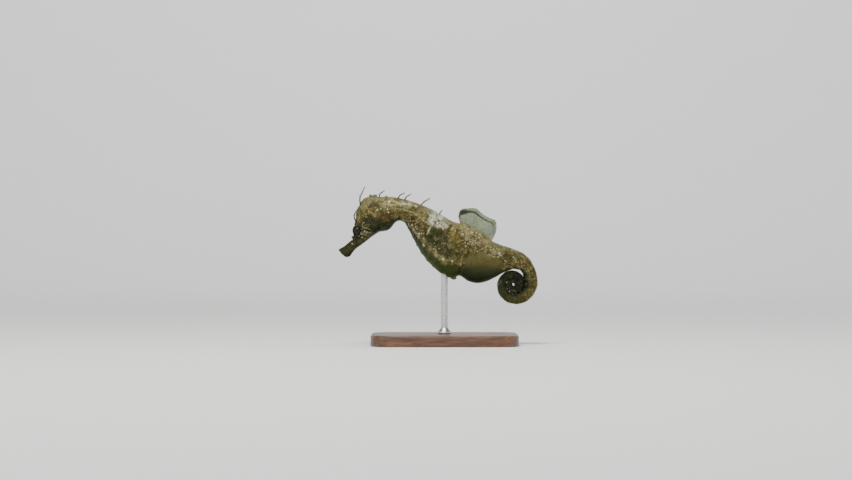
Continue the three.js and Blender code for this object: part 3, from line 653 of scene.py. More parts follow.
class Markings:
    """The skin's colours, laid in layers. Each share is from 0 to 1 at every place of the grid."""

    def __init__(self, skin, pouch, marks):
        self.skin, self.pouch, self.marks = skin, pouch, marks
        self.colours = np.tile(linear(OLIVE), along_grid.shape + (1,))
        self.wander = np.stack([value_noise(skin, 2.6, seed) for seed in (11, 12)], axis=-1)
        self.ripple = np.stack([value_noise(skin, 0.8, seed) for seed in (13, 14)], axis=-1)
        self.x = skin[..., 0] + 0.7 * self.wander[..., 0] + 0.45 * self.ripple[..., 0]
        self.z = skin[..., 2] + 0.7 * self.wander[..., 1] + 0.45 * self.ripple[..., 1]
        self.mottle = value_noise(skin, 1.4, 15) + 0.7 * value_noise(skin, 0.6, 16)
        self.fine = value_noise(skin, 0.55, 23) + 0.5 * value_noise(skin, 0.3, 24)
        self.on_snout = fade(along("snout_root") - 1.5, along("brow"), along_grid)
        self.on_coil = smoothstep(along("coil_1"), along("coil_7"), along_grid)
        self.on_tail = smoothstep(along("tail_rise"), along("coil_0"), along_grid)
        self.calm = self.patch(28.6, 40.6, 3.0, 2.8, -16)  # where the tail's back is plain
        # The underside and the chin's lower side, where dark green is laid that is partly the skin's own
        # colour and partly painted shade.
        edge = folded_grid + 9 * self.wander[..., 0]
        self.under = smoothstep(138 - 34 * self.on_tail, 158 - 30 * self.on_tail, edge) * (along_grid > NAPE)
        self.chin = smoothstep(116, 150, edge) * (along_grid <= NAPE)

    def patch(self, *oval):
        return patch_share(self.x, self.z, *oval)

    def lay(self, colour, strength):
        paint(self.colours, colour, strength)

    def lay_patches(self):
        for _, *oval, colour, strength in PATCHES:
            self.lay(colour, strength * self.patch(*oval))

    def lay_snout(self):
        specks = value_noise(self.skin, 0.45, 26) + 0.5 * value_noise(self.skin, 0.9, 27)
        self.lay(DARK_GREEN, 0.9 * self.on_snout)
        self.lay(OLIVE, 0.6 * self.on_snout * smoothstep(0.1, 0.7, specks))
        self.lay(RED_BROWN, 0.5 * self.on_snout * smoothstep(0.3, 0.8, -specks))

    def lay_coil(self):
        """The coil is darker olive, with painted shade on its inner turns and a painted shadow on the left
        of the outer turn, and keeps a green rim.
        """
        inner_turn_shade = smoothstep(along("coil_8"), along("coil_13"), along_grid)
        self.lay(DARK_OLIVE, 0.9 * self.on_coil)
        self.lay(DARK_GREEN, 0.5 * self.on_coil * smoothstep(-0.4, 0.5, self.mottle))
        # painted shade: the inner turns go near black green
        self.lay(BLACK_GREEN, 0.95 * inner_turn_shade)
        # painted shadow on the left of the outer turn
        self.lay(DARK_GREEN, 0.8 * self.on_coil * self.patch(24.9, 29.4, 2.6, 4.6, -12))
        self.lay(LEAF_GREEN, 0.6 * self.on_coil * (1 - inner_turn_shade) * fade(30, 62, folded_grid))

    def lay_mottling(self):
        """Brown and pale blotches and a finer grain, with few pale ones where the skin is dark."""
        warm = (1 - self.on_snout) * (1 - self.pouch) * (1 - 0.6 * self.on_coil) * (1 - 0.7 * self.calm)
        light = 0.15 + 0.85 * smoothstep(0.01, 0.05, self.colours.mean(axis=-1))
        self.lay(BROWN, 0.65 * warm * smoothstep(0.0, 0.7, self.mottle))
        self.lay(PALE_OLIVE, 0.4 * light * warm * smoothstep(0.15, 0.8, -self.mottle))
        self.lay(DARK_OLIVE, 0.7 * warm * smoothstep(0.15, 0.6, self.fine))
        self.lay(CREAM, 0.4 * light * warm * smoothstep(0.3, 0.8, -self.fine) * fade(118, 140, folded_grid))

    def lay_underside(self):
        """Dark green below, partly the skin's own colour and partly painted shade from the light above, leaf
        green along the belly's rim, and a paler keel.
        """
        belly = smoothstep(along("breast"), along("ribs"), along_grid)
        belly = belly * fade(along("loin"), VENT, along_grid)
        keel = smoothstep(162, 172, folded_grid) * fade(174, 178, folded_grid) * (along_grid > NAPE)
        # partly the skin's own colour and partly painted shade: dark green below the body, black green below
        # the tail
        self.lay(DARK_GREEN, 0.95 * self.under)
        self.lay(BLACK_GREEN, 0.8 * self.under * self.on_tail)
        self.lay(LEAF_GREEN, 0.75 * self.under * belly)
        # partly the skin's own colour and partly painted shade under the chin
        self.lay(DARK_GREEN, 0.85 * self.chin)
        self.lay(OLIVE, 0.5 * keel * (1 - self.on_tail))

    def lay_pouch(self):
        """Grey olive, with a pale upper side and a dark bottom that is partly its own colour and partly
        painted shade from the light above.
        """
        high = self.skin[..., 2] + 0.6 * self.wander[..., 1] + 0.12 * (self.skin[..., 0] - 16)
        pale = self.patch(17.4, 39.6, 6.4, 1.7, -8) * smoothstep(-0.5, 0.5, self.mottle)
        self.lay(GREY_OLIVE, 0.9 * self.pouch)
        self.lay(PALE_OLIVE, 0.5 * pale * self.pouch)
        # darker towards the bottom: partly the pouch's own colour and partly painted shade
        self.lay(DARK_OLIVE, 0.85 * self.pouch * smoothstep(38.2, 33.6, high))
        self.lay(DARK_GREEN, 0.95 * self.pouch * smoothstep(34.2, 30.6, high))

    def lay_back(self):
        """A pale band along the middle of the back, from the temple to the coil's start."""
        top = fade(12, 40, folded_grid + 10 * self.wander[..., 1])
        behind_head = smoothstep(along("temple"), NAPE, along_grid)
        before_coil = fade(along("tail_rise"), along("coil_3"), along_grid)
        self.lay(CREAM, 0.45 * top * behind_head * before_coil * smoothstep(-0.6, 0.5, self.mottle))

    def lay_lines(self):
        """The lines waver, most of all on the head, and are broken here and there."""
        bend = (0.16 + 0.4 * (along_grid < along("gill")))[..., None]
        sway = [self.wander[..., 0] + self.ripple[..., 1], 0 * along_grid, self.ripple[..., 0]]
        flat = self.skin * (1, 0, 1) + bend * np.stack(sway, axis=-1)
        share = smoothstep(12, 26, folded_grid)
        share = share * smoothstep(-0.75, 0.1, self.ripple[..., 0] + 0.8 * self.fine)
        for _, path, half_width, colour, strength in LINES:
            points = [np.array([x, 0.0, z]) for x, z in path]
            self.lay(colour, strength * share * bell(distance_to_path(flat, points), half_width))

    def lay_spots(self):
        """Dots, the tubercles' pale tops, brown pits where the skin is pale, and the bright spots."""
        shaded = np.clip(self.under + self.chin, 0, 1)
        pits = smoothstep(0.35, 0.75, value_noise(self.skin, 0.75, 25))
        pale = self.patch(-4.0, 57.4, 6.0, 4.6, -32) + self.patch(-22.0, 63.6, 12.0, 2.8, 0)
        self.lay(DOT_CREAM, 0.9 * self.marks["dots"] * (1 - self.calm))
        self.lay(CREAM, 0.55 * self.marks["tubercles"] ** 1.5 * (1 - 0.7 * shaded))
        self.lay(BROWN, 0.85 * pits * np.clip(pale, 0, 1))
        self.lay(WHITE, 0.95 * self.marks["spots"])


def skin_colours(skin, pouch, marks):
    look = Markings(skin, pouch, marks)
    for lay in (
        look.lay_patches, look.lay_snout, look.lay_coil, look.lay_mottling, look.lay_underside,
        look.lay_pouch, look.lay_back, look.lay_lines, look.lay_spots,
    ):
        lay()
    return look.colours


def pale_dots(skin, pouch):
    """Small dots in loose rows, thick in the dotted fields and sparse elsewhere."""
    bend = np.stack([value_noise(skin, 1.1, 31), value_noise(skin, 1.1, 32), 0 * along_grid], axis=-1)
    nearest, second = cells(skin + 0.15 * bend, DOT_SPACING, 33)
    size = DOT_SIZE + 0.08 * value_noise(skin, 1.3, 34)
    field = dotted_share(skin[..., 0] + 0.8 * value_noise(skin, 2.2, 35), skin[..., 2])
    sparse = 0.22 * smoothstep(0.1, 0.6, value_noise(skin, 3.1, 36))
    amount = np.clip(field + sparse, 0, 1) * (1 - pouch) * (1 - 0.8 * smoothstep(140, 160, folded_grid))
    dots = fade(size * 0.75, size * 1.25, nearest) * amount
    net = fade(0.05, 0.22, second - nearest) * 0.6 * amount
    return np.maximum(dots, net * smoothstep(-0.3, 0.4, value_noise(skin, 2.0, 37)))


# ---- meshes


def mesh_object(name, points, faces, material):
    points = np.reshape(points, (-1, 3))
    mesh = bpy.data.meshes.new(name)
    mesh.from_pydata((points * MM).tolist(), [], [tuple(map(int, face)) for face in faces])
    mesh.update()
    mesh.shade_smooth()
    mesh.materials.append(material)
    made = bpy.data.objects.new(name, mesh)
    bpy.context.scene.collection.objects.link(made)
    return made


def grid_faces(rows, columns, closed=True):
    """Quads between rows of vertices, each row a ring of so many columns or an open line of them."""
    for row in range(rows - 1):
        for column in range(columns if closed else columns - 1):
            corner = row * columns + column
            beside = row * columns + (column + 1) % columns
            yield corner, beside, beside + columns, corner + columns


def tube_faces(points):
    """Faces of a closed tube whose rings are the rows of points."""
    rows, sides = points.shape[:2]
    last = (rows - 1) * sides
    ends = [tuple(reversed(range(sides))), tuple(range(last, last + sides))]
    return [*grid_faces(rows, sides), *ends]


def turned(outline, sides):
    """Rings of points round the Z axis, from an outline of distances from it and heights."""
    turns = np.arange(sides) * 2 * math.pi / sides
    rings = [[(out * math.cos(turn), out * math.sin(turn), z) for turn in turns] for out, z in outline]
    return np.array(rings)


def joined(parts):
    """One part from many, each its points, its faces and any values at its points, laid out flat."""
    points, faces, *values = zip(*parts)
    starts = np.cumsum([0] + [array.size // 3 for array in points])
    faces = [tuple(start + corner for corner in face) for start, some in zip(starts, faces) for face in some]
    points, *values = (np.concatenate([np.ravel(array) for array in column]) for column in (points, *values))
    return points, faces, *values


def add_tint(made, colours):
    """Linear colours, one at each vertex."""
    flat = np.ones((len(made.data.vertices), 4))
    flat[:, :3] = np.reshape(colours, (-1, 3))
    made.data.attributes.new("tint", "FLOAT_COLOR", "POINT").data.foreach_set("color", flat.ravel())


def add_values(made, name, values):
    layer = made.data.attributes.new(name, "FLOAT", "POINT")
    layer.data.foreach_set("value", np.asarray(values, float).ravel())


def make_skin(material):
    """The whole body as one closed skin, with fans of faces at the mouth and at the tail's tip."""
    skin, depth = swept_skin()
    normal = normals_of(skin)
    sculpt_head(skin, normal)
    sculpt_coronet(skin, normal)
    normal = normals_of(skin)
    pouch = pouch_share(skin)
    skin += plate_relief(depth, pouch)[..., None] * normal
    carve_grooves(skin, normal)
    rise, on_tubercle = local_bumps(tubercles(), skin)
    dots, spots = pale_dots(skin, pouch), spot_share(skin)
    ripple = 0.07 * value_noise(skin, 1.3, 21) + 0.035 * value_noise(skin, 0.5, 22)
    relief = rise * (1 - 0.9 * pouch) + DOT_RISE * dots + SPOT_RISE * spots
    relief += gill_fan(skin) + eye_folds(skin) + warts(skin) * (1 - pouch) + ripple * (1 - 0.6 * pouch)
    skin += relief[..., None] * normal
    open_eyes(skin)
    marks = {"tubercles": on_tubercle * (1 - pouch), "dots": dots, "spots": spots}
    colours = skin_colours(skin, pouch, marks)
    count, last = len(ROWS) * SPOKES, (len(ROWS) - 1) * SPOKES
    pairs = [(spoke, (spoke + 1) % SPOKES) for spoke in range(SPOKES)]
    faces = [*grid_faces(len(ROWS), SPOKES), *((count, after, spoke) for spoke, after in pairs)]
    faces += [(count + 1, last + spoke, last + after) for spoke, after in pairs]
    ends = [skin[0].mean(axis=0), skin[-1].mean(axis=0)]
    body = mesh_object("skin", np.vstack([skin.reshape(-1, 3), ends]), faces, material)
    add_tint(body, np.vstack([colours.reshape(-1, 3), colours[0, 0], colours[-1, -1]]))
    add_values(body, "smooth", np.append(pouch.ravel(), [0, 0]))
    return body


# ---- materials


class Nodes:
    """A short way to write a material's node tree."""

    def __init__(self, name):
        self.material = bpy.data.materials.new(name)
        self.material.use_nodes = True
        self.tree = self.material.node_tree
        self.shader = self.tree.nodes["Principled BSDF"]

    def add(self, kind, settings=(), **inputs):
        node = self.tree.nodes.new(kind)
        for key, value in dict(settings).items():
            setattr(node, key, value)
        for key, value in inputs.items():
            self.set(node, key, value)
        return node

    def set(self, node, key, value):
        """The key is a socket's name, with _ for each space, or i and the socket's number."""
        socket = node.inputs[int(key[1:]) if key[1:].isdigit() else key.replace("_", " ")]
        if isinstance(value, bpy.types.NodeSocket):
            self.tree.links.new(value, socket)
        else:
            socket.default_value = value

    def surface(self, **inputs):
        for key, value in inputs.items():
            self.set(self.shader, key, value)

    def place(self):
        return self.add("ShaderNodeTexCoord").outputs["Object"]

    def stretched(self, *scale):
        return self.add("ShaderNodeMapping", Vector=self.place(), Scale=scale).outputs[0]

    def noise(self, scale, detail, roughness, place=None, distortion=0.0):
        settings = {"Scale": scale, "Detail": detail, "Roughness": roughness, "Distortion": distortion}
        return self.add("ShaderNodeTexNoise", Vector=place or self.place(), **settings).outputs["Fac"]

    def cells(self, scale):
        return self.add("ShaderNodeTexVoronoi", Vector=self.place(), Scale=scale).outputs["Distance"]

    def span(self, value, low, high, to_low, to_high):
        limits = {"From_Min": low, "From_Max": high, "To_Min": to_low, "To_Max": to_high}
        node = self.add("ShaderNodeMapRange", {"interpolation_type": "SMOOTHSTEP"}, Value=value, **limits)
        return node.outputs["Result"]

    def clouds(self, scale, detail, roughness, *limits):
        return self.span(self.noise(scale, detail, roughness), *limits)

    def maths(self, one, other, operation="MULTIPLY"):
        return self.add("ShaderNodeMath", {"operation": operation}, i0=one, i1=other).outputs[0]

    def mix(self, factor, one, other, blend="MIX"):
        settings = {"data_type": "RGBA", "blend_type": blend}
        return self.add("ShaderNodeMix", settings, i0=factor, i6=one, i7=other).outputs[2]

    def darkened(self, factor, colour, shade):
        """The colour, multiplied by the shade where the factor is 1."""
        return self.mix(factor, colour, self.mix(1.0, colour, shade, "MULTIPLY"))

    def attribute(self, name, output):
        return self.add("ShaderNodeAttribute", {"attribute_name": name}).outputs[output]

    def bump(self, height, strength, distance, normal=None):
        node = self.add("ShaderNodeBump", Height=height, Strength=strength, Distance=distance)
        if normal:
            self.set(node, "Normal", normal)
        return node.outputs["Normal"]


def rgba(colour):
    return (*linear(colour), 1.0)


def skin_material():
    """Moist skin over bone: tint from the markings, fine mottling, pale pores and a grain of tiny warts."""
    look = Nodes("seahorse_skin")
    rough_share = look.maths(1.0, look.attribute("smooth", "Fac"), "SUBTRACT")
    mottle = look.maths(look.clouds(900, 6, 0.7, 0.36, 0.66, 0.0, 1.0), 0.5)
    darker = look.darkened(mottle, look.attribute("tint", "Color"), (0.34, 0.33, 0.24, 1))
    dots = look.span(look.cells(2100), 0.16, 0.34, 1.0, 0.0)
    scattered = look.maths(dots, look.clouds(620, 2, 0.5, 0.5, 0.68, 0.0, 0.6))
    pale = look.mix(look.maths(scattered, rough_share), darker, rgba(CREAM))
    grain = look.noise(3400, 3, 0.6)
    grained = look.mix(look.span(grain, 0.35, 0.65, 0.0, 1.0), (0.03, 0.035, 0.015, 1), pale)
    warts = look.bump(look.cells(2600), 0.35, 0.00016)
    look.surface(Base_Color=look.mix(0.28, pale, grained), Normal=look.bump(grain, 0.3, 0.00012, warts))
    look.surface(Roughness=look.clouds(1500, 3, 0.6, 0.3, 0.7, 0.34, 0.56), Specular_IOR_Level=0.12)
    look.surface(Subsurface_Weight=0.06, Subsurface_Scale=0.001)
    return look.material


def eye_material():
    """A dark ball with a gold-flecked iris and a black pupil, under a clear wet coat."""
    look = Nodes("seahorse_eye")
    flecks = look.clouds(5200, 4, 0.7, 0.45, 0.62, 0.0, 1.0)
    colour = look.darkened(look.maths(flecks, 0.4), look.attribute("tint", "Color"), (0.3, 0.3, 0.3, 1))
    look.surface(Base_Color=colour, Roughness=look.span(flecks, 0, 1, 0.12, 0.2))
    look.surface(Coat_Weight=0.45, Coat_Roughness=0.03, Coat_IOR=1.33, Specular_IOR_Level=0.12)
    return look.material


def fin_material():
    """Thin membrane, as dense as the cover at each vertex says."""
    look = Nodes("seahorse_fin")
    stain = look.clouds(1200, 3, 0.6, 0.4, 0.65, 0.0, 0.2)
    cloud = look.clouds(700, 3, 0.5, 0.3, 0.7, 0.86, 1.08)
    look.surface(Base_Color=look.mix(stain, look.attribute("tint", "Color"), rgba(DARK_OLIVE)))
    look.surface(Alpha=look.maths(look.attribute("cover", "Fac"), cloud))
    look.surface(Roughness=look.clouds(3000, 4, 0.55, 0.3, 0.7, 0.26, 0.42))
    look.surface(Normal=look.bump(look.noise(4200, 2, 0.5), 0.3, 0.00006))
    return look.material


def filament_material():
    look = Nodes("seahorse_filament")
    stain = look.clouds(2600, 3, 0.6, 0.4, 0.65, 0.0, 0.6)
    look.surface(Base_Color=look.mix(stain, look.attribute("tint", "Color"), rgba(DARK_GREEN)))
    look.surface(Roughness=look.clouds(1800, 4, 0.55, 0.3, 0.7, 0.4, 0.6))
    look.surface(Normal=look.bump(look.noise(5200, 2, 0.5), 0.35, 0.00005))
    return look.material


def walnut_material():
    """Oiled walnut: long grain along X, darker pores and slow bands of colour."""
    look = Nodes("stand_walnut")
    stretched = look.stretched(0.1, 1.0, 1.0)
    grain = look.noise(900.0, 6.0, 0.65, stretched, 0.4)
    bands = look.noise(150.0, 3.0, 0.5, stretched, 1.6)
    band = look.span(bands, 0.35, 0.65, 0.0, 1.0)
    wood = look.mix(band, rgba((0.33, 0.21, 0.13)), rgba((0.47, 0.31, 0.2)))
    lined = look.mix(look.span(grain, 0.42, 0.6, 0.0, 0.75), wood, rgba((0.2, 0.12, 0.07)))
    look.surface(Base_Color=lined, Roughness=look.span(grain, 0.3, 0.7, 0.36, 0.5))
    look.surface(Normal=look.bump(grain, 0.3, 0.0001), Coat_Weight=0.15, Coat_Roughness=0.3)
    return look.material


def steel_material():
    """Steel brushed round the rod."""
    look = Nodes("stand_steel")
    brushed = look.noise(1400.0, 3.0, 0.5, look.stretched(0.15, 0.15, 6.0))
    shade = look.span(brushed, 0.3, 0.7, 0.0, 1.0)
    look.surface(Base_Color=look.mix(shade, (0.5, 0.5, 0.49, 1), (0.62, 0.62, 0.61, 1)), Metallic=1.0)
    look.surface(Roughness=look.span(brushed, 0.3, 0.7, 0.24, 0.4), Normal=look.bump(brushed, 0.12, 0.00004))
    return look.material


# ---- eyes

SIDE_NAMES = {-1: "left", 1: "right"}
EYE_DARK, PUPIL = (0.02, 0.035, 0.02), (0.005, 0.006, 0.005)
IRIS, IRIS_RIM = (0.13, 0.12, 0.045), (0.4, 0.34, 0.15)


def make_eye(side, material):
    rows, columns = 48, 64
    polar = np.linspace(0, math.pi, rows)
    around = np.arange(columns) * 2 * math.pi / columns
    bulge = 1 + 0.05 * bell(polar, 0.55)  # the cornea stands a little proud
    out, deep = np.sin(polar)[:, None] * EYE_RADIUS, (bulge * np.cos(polar))[:, None] * EYE_RADIUS
    points = np.stack(np.broadcast_arrays(out * np.cos(around), side * deep, out * np.sin(around)), axis=-1)
    points = points + EYE * (1, side, 1)
    eye = mesh_object(f"eyeball_{SIDE_NAMES[side]}", points, grid_faces(rows, columns), material)
    angle = np.degrees(np.broadcast_to(polar[:, None], (rows, columns)))
    spokes = 0.5 + 0.5 * np.cos(around * 22 + 0.8 * np.sin(around * 5))
    iris = smoothstep(25, 30, angle) * fade(46, 58, angle)
    colours = np.tile(linear(EYE_DARK), (rows, columns, 1))
    paint(colours, IRIS, iris * (0.25 + 0.5 * spokes))
    paint(colours, IRIS_RIM, bell(angle - 27.5, 1.4) * 0.6)
    paint(colours, PUPIL, fade(24, 27, angle))
    add_tint(eye, colours)
    return eye


# ---- fins

# Points are x, z: the two ends of the root, and those that the edge passes through.
DORSAL_FIN = {
    "root": [(8.0, 53.2), (18.8, 47.2)],
    "edge": [
        (6.2, 58.0), (7.2, 60.9), (10.4, 61.7), (14.2, 61.6), (17.0, 59.4), (20.2, 57.4), (23.2, 55.8),
        (23.4, 51.2), (21.4, 46.8),
    ],
    "rays": 19, "wave": 1.2, "waves": 2.5, "side": 0.0, "flare": 0.0, "sink": 1.2, "cover": 0.62,
    "tint": FIN_GREEN, "stripe": 1.0,
}
ANAL_FIN = {
    "root": [(3.0, 31.6), (5.4, 31.4)],
    "edge": [(2.8, 29.9), (4.0, 29.3), (5.4, 29.6)],
    "rays": 4, "wave": 0.0, "waves": 1.0, "side": 0.0, "flare": 0.0, "sink": 0.8, "cover": 0.8,
    "tint": DARK_OLIVE, "stripe": 0.0,
}
PECTORAL_FIN = {
    "root": [(-24.9, 61.4), (-24.5, 57.6)],
    "edge": [(-22.3, 62.8), (-20.7, 60.8), (-20.5, 58.0), (-21.9, 56.2)],
    "rays": 16, "wave": 0.2, "waves": 3.0, "side": 4.35, "flare": 0.42, "sink": 0.5, "cover": 0.1,
    "tint": GOLD, "stripe": 0.0,
}
MEMBRANE = 0.07  # half its thickness
FIN_BOW, SCALLOP = 0.042, 0.022  # shares of a ray's length
RAY_RADIUS, RAY_ROWS, RAY_SIDES, RAY_END = 0.085, 28, 6, 0.985
MEMBRANE_ROWS = 36


def fin_point(fin, share, up, side_sign):
    """A place on the fin's middle surface: share along it and up its rays, both 0 to 1."""
    root = np.array([(x, 0, z) for x, z in fin["root"]])
    edge = catmull_rom([(x, 0, z) for x, z in fin["edge"]], share)
    foot = root[0] + share[..., None] * (root[1] - root[0])
    ray = edge - foot
    length = np.linalg.norm(ray, axis=-1)
    start = foot - ray / length[..., None] * fin["sink"]
    point = start + up[..., None] * (edge - start)
    risen = np.clip(up * (length + fin["sink"]) - fin["sink"], 0, None) / length
    sway = fin["wave"] * risen * np.sin(share * fin["waves"] * 2 * math.pi)
    bow = FIN_BOW * np.sin(math.pi * np.clip(risen, 0, 1)) * length
    point[..., 1] = side_sign * (fin["side"] + fin["flare"] * risen * length + sway)
    point[..., 0] -= bow
    return point, risen


def scallop(fin, share):
    """The edge is cut back a little between the rays."""
    return 1 - SCALLOP * np.abs(np.sin(math.pi * share * (fin["rays"] - 1)))


def tube(centre, radius, sides):
    """Rings of points round a line of centres."""
    tangent = np.gradient(centre, axis=0)
    tangent /= np.linalg.norm(tangent, axis=-1, keepdims=True)
    side = np.cross(tangent, (0.0, 1.0, 0.0))
    side /= np.maximum(np.linalg.norm(side, axis=-1, keepdims=True), 1e-9)
    lift = np.cross(side, tangent)
    angle = np.arange(sides) * 2 * math.pi / sides
    ring = np.cos(angle)[None, :, None] * side[:, None] + np.sin(angle)[None, :, None] * lift[:, None]
    return centre[:, None] + np.asarray(radius)[:, None, None] * ring


def sheet_faces(across, tall):
    """Faces of a thin closed sheet: its front, its rear and the rim between them."""
    rear = across * tall
    quads = list(grid_faces(across, tall, closed=False))
    faces = [tuple(reversed(quad)) for quad in quads]
    faces += [tuple(rear + corner for corner in quad) for quad in quads]
    grid = np.arange(rear).reshape(across, tall)
    rim = [*grid[:, 0], *grid[-1, 1:], *grid[-2::-1, -1], *grid[0, -2:0:-1]]
    return faces + [(start, end, end + rear, start + rear) for start, end in zip(rim, rim[1:] + rim[:1])]


def stripe_share(fin, share, risen):
    """A dark stripe inside the fin's margin, broad at the front and fine behind."""
    half_width = 0.03 + 0.09 * bell(share - 0.16, 0.11)
    stripe = fade(0.6, 1.3, np.abs(risen - 0.82) / half_width)
    return fin["stripe"] * stripe * (1 - 0.6 * smoothstep(0.5, 0.9, share))


def fin_membrane(fin, side_sign):
    across = fin["rays"] * 8 + 1
    share, up = np.meshgrid(np.linspace(0, 1, across), np.linspace(0, 1, MEMBRANE_ROWS), indexing="ij")
    middle, risen = fin_point(fin, share, up * scallop(fin, share), side_sign)
    normal = np.cross(np.gradient(middle, axis=0), np.gradient(middle, axis=1))
    normal /= np.maximum(np.linalg.norm(normal, axis=-1, keepdims=True), 1e-9)
    thick = normal * MEMBRANE * (1.6 - risen)[..., None]
    colours = np.tile(linear(fin["tint"]), share.shape + (1,))
    ends = np.maximum(fade(0.1, 0.4, share), smoothstep(0.72, 0.92, share))
    dark = stripe_share(fin, share, risen)
    paint(colours, GOLD, 0.75 * ends * fade(0.3, 0.75, risen))
    paint(colours, DARK_OLIVE, 0.4 * fade(0, 0.3, risen))
    paint(colours, BLACK_GREEN, dark)
    cover = fin["cover"] * (1 + 0.9 * fade(0, 0.3, risen)) + 0.5 * dark
    points = np.stack([middle + thick, middle - thick])
    return points, sheet_faces(across, MEMBRANE_ROWS), [colours] * 2, [cover] * 2


def fin_ray(fin, place, side_sign):
    share = np.full(RAY_ROWS, place)
    up = np.linspace(0.0, RAY_END, RAY_ROWS) * scallop(fin, share)
    centre, risen = fin_point(fin, share, up, side_sign)
    points = tube(centre, RAY_RADIUS * (1.25 - 0.75 * risen), RAY_SIDES)
    colours = np.tile(linear(PALE_OLIVE), points.shape[:2] + (1,))
    banded = 0.5 + 0.5 * np.sin(risen * 21 + place * 5)
    paint(colours, fin["tint"], (0.3 + 0.4 * banded)[:, None])
    paint(colours, DARK_OLIVE, fin["cover"] * 0.6)
    paint(colours, BLACK_GREEN, stripe_share(fin, place, risen)[:, None])
    return points, tube_faces(points), colours, np.full(points.shape[:2], 1.5 * fin["cover"])


def make_fin(name, fin, material, side_sign=1):
    """Membrane and rays as one joined mesh."""
    rays = [fin_ray(fin, place, side_sign) for place in np.linspace(0, 1, fin["rays"])]
    points, faces, colours, cover = joined([fin_membrane(fin, side_sign), *rays])
    made = mesh_object(name, points, faces, material)
    add_tint(made, colours)
    add_values(made, "cover", cover)
    return made


# ---- skin filaments

# Station, share on to the next, degrees round (the left is negative), and bends as x, y, z from the root.
FILAMENTS = {
    "brow_left": ("cheek", 0.0, -18, [(-1.1, -0.5, 1.8), (-0.7, -1.0, 4.0), (1.0, -1.5, 6.4)]),
    "brow_right": ("cheek", 0.3, 24, [(-0.9, 0.8, 2.0), (0.0, 1.6, 4.6), (1.8, 2.0, 6.6)]),
    "crown_left": ("temple", 0.9, -12, [(-0.3, -0.4, 2.3), (0.2, -0.6, 4.4), (2.0, -1.0, 8.1)]),
    "crown_right": ("gill", 0.0, 16, [(0.3, 0.5, 2.2), (2.4, 1.0, 3.8)]),
    "temple_left": ("crown", 0.5, -42, [(1.1, -1.0, 1.3), (3.0, -1.4, 2.1), (6.0, -1.4, 2.7)]),
    "temple_right": ("crown", 0.2, 46, [(1.4, 1.2, 1.5), (3.6, 1.7, 2.8)]),
    "nape_left": ("nape", 0.95, -12, [(1.0, -0.4, 1.4), (3.0, -0.8, 2.4)]),
    "nape_right": ("neck", 0.65, 14, [(1.0, 0.5, 1.4), (3.0, 0.9, 2.6)]),
    "neck_left": ("chest", 0.6, -14, [(1.5, -0.4, 1.6), (4.0, -0.8, 3.1)]),
    "back_right": ("ribs", 0.6, 18, [(0.4, 0.6, 1.3), (1.3, 1.0, 2.4)]),
}
FILAMENT_SHADE = {"temple_left": BROWN, "temple_right": BROWN}  # the others are a black green
FILAMENT_RADII, FILAMENT_ROWS, FILAMENT_SIDES = (0.36, 0.2), 40, 10
TWIG_RADII, TWIG_ROWS, TWIG_REACH = (0.13, 0.05), 12, 0.17  # the reach as a share of the filament's
TWIGS = [(22, 0.7), (29, -0.6)]  # row of the filament, and how far to the side


def skin_place(along_spine, degrees, out=1.0):
    middle, up, depth, width, lean = (value[0] for value in sections(np.array([along_spine])))
    cos, sin = math.cos(math.radians(degrees)), math.sin(math.radians(degrees))
    reach = section_reach(cos, sin, depth, width * (1 + lean * cos), TRUNK_SQUARENESS)
    return middle + out * reach * (cos * up + sin * np.array([0.0, 1.0, 0.0]))


def tapered(points, radii, rows):
    share = np.linspace(0, 1, rows)
    radius = radii[0] + (radii[1] - radii[0]) * share**1.3
    foot = 1 + 0.6 * fade(0.0, 0.22, share)
    return tube(catmull_rom(points, share), radius * foot, FILAMENT_SIDES)


def make_filament(name, spec, material):
    """A tapering thread with two short twigs, its foot spread on the skin."""
    station, share, degrees, bends = spec
    along_spine = along(station, share)
    root = skin_place(along_spine, degrees)
    points = [skin_place(along_spine, degrees, 0.86), root] + [root + np.array(bend) for bend in bends]
    tubes = [tapered(points, FILAMENT_RADII, FILAMENT_ROWS)]
    centres = tubes[0].mean(axis=1)
    reach = np.linalg.norm(points[-1] - root) * TWIG_REACH
    for row, lean in TWIGS:
        start, ahead = centres[row], centres[row + 3] - centres[row]
        ahead /= np.linalg.norm(ahead)
        end = start + (ahead + np.array([-ahead[2], 0.35 * lean, ahead[0]]) * lean) * reach
        tubes.append(tapered([start, (start + end) / 2 + ahead * 0.12, end], TWIG_RADII, TWIG_ROWS)[1:])
    points, faces = joined([(points, tube_faces(points)) for points in tubes])
    made = mesh_object(f"cirrus_{name}", points, faces, material)
    colours = np.tile(linear(FILAMENT_SHADE.get(name, BLACK_GREEN)), (len(made.data.vertices), 1))
    foot = np.repeat(fade(0.0, 0.3, np.linspace(0, 1, FILAMENT_ROWS)), FILAMENT_SIDES)
    paint(colours[: len(foot)], OLIVE, foot)
    add_tint(made, colours)
    return made


# ---- stand

BASE = {"length": 66, "width": 40, "height": 5, "corner": 9, "bevel": 0.8}
ROD_RADIUS, ROD_SUNK, ROD_SIDES = 1.5, 0.6, 64
# The outline of the collar at the rod's foot: distance from the axis and height over the base.
COLLAR = [(2.8, 0.0), (3.0, 0.2), (3.0, 1.02), (2.75, 1.32), (2.25, 1.87), (1.8, 2.5), (1.5, 3.0)]
COLLAR_END = 3.2


def rounded_outline(inset):
    corner = BASE["corner"] - inset
    middle_x, middle_y = (BASE[size] / 2 - inset - corner for size in ("length", "width"))
    for east, north, start in ((1, 1, 0), (-1, 1, 90), (-1, -1, 180), (1, -1, 270)):
        for angle in np.radians(np.linspace(start, start + 90, 17)):
            yield east * middle_x + corner * math.cos(angle), north * middle_y + corner * math.sin(angle)


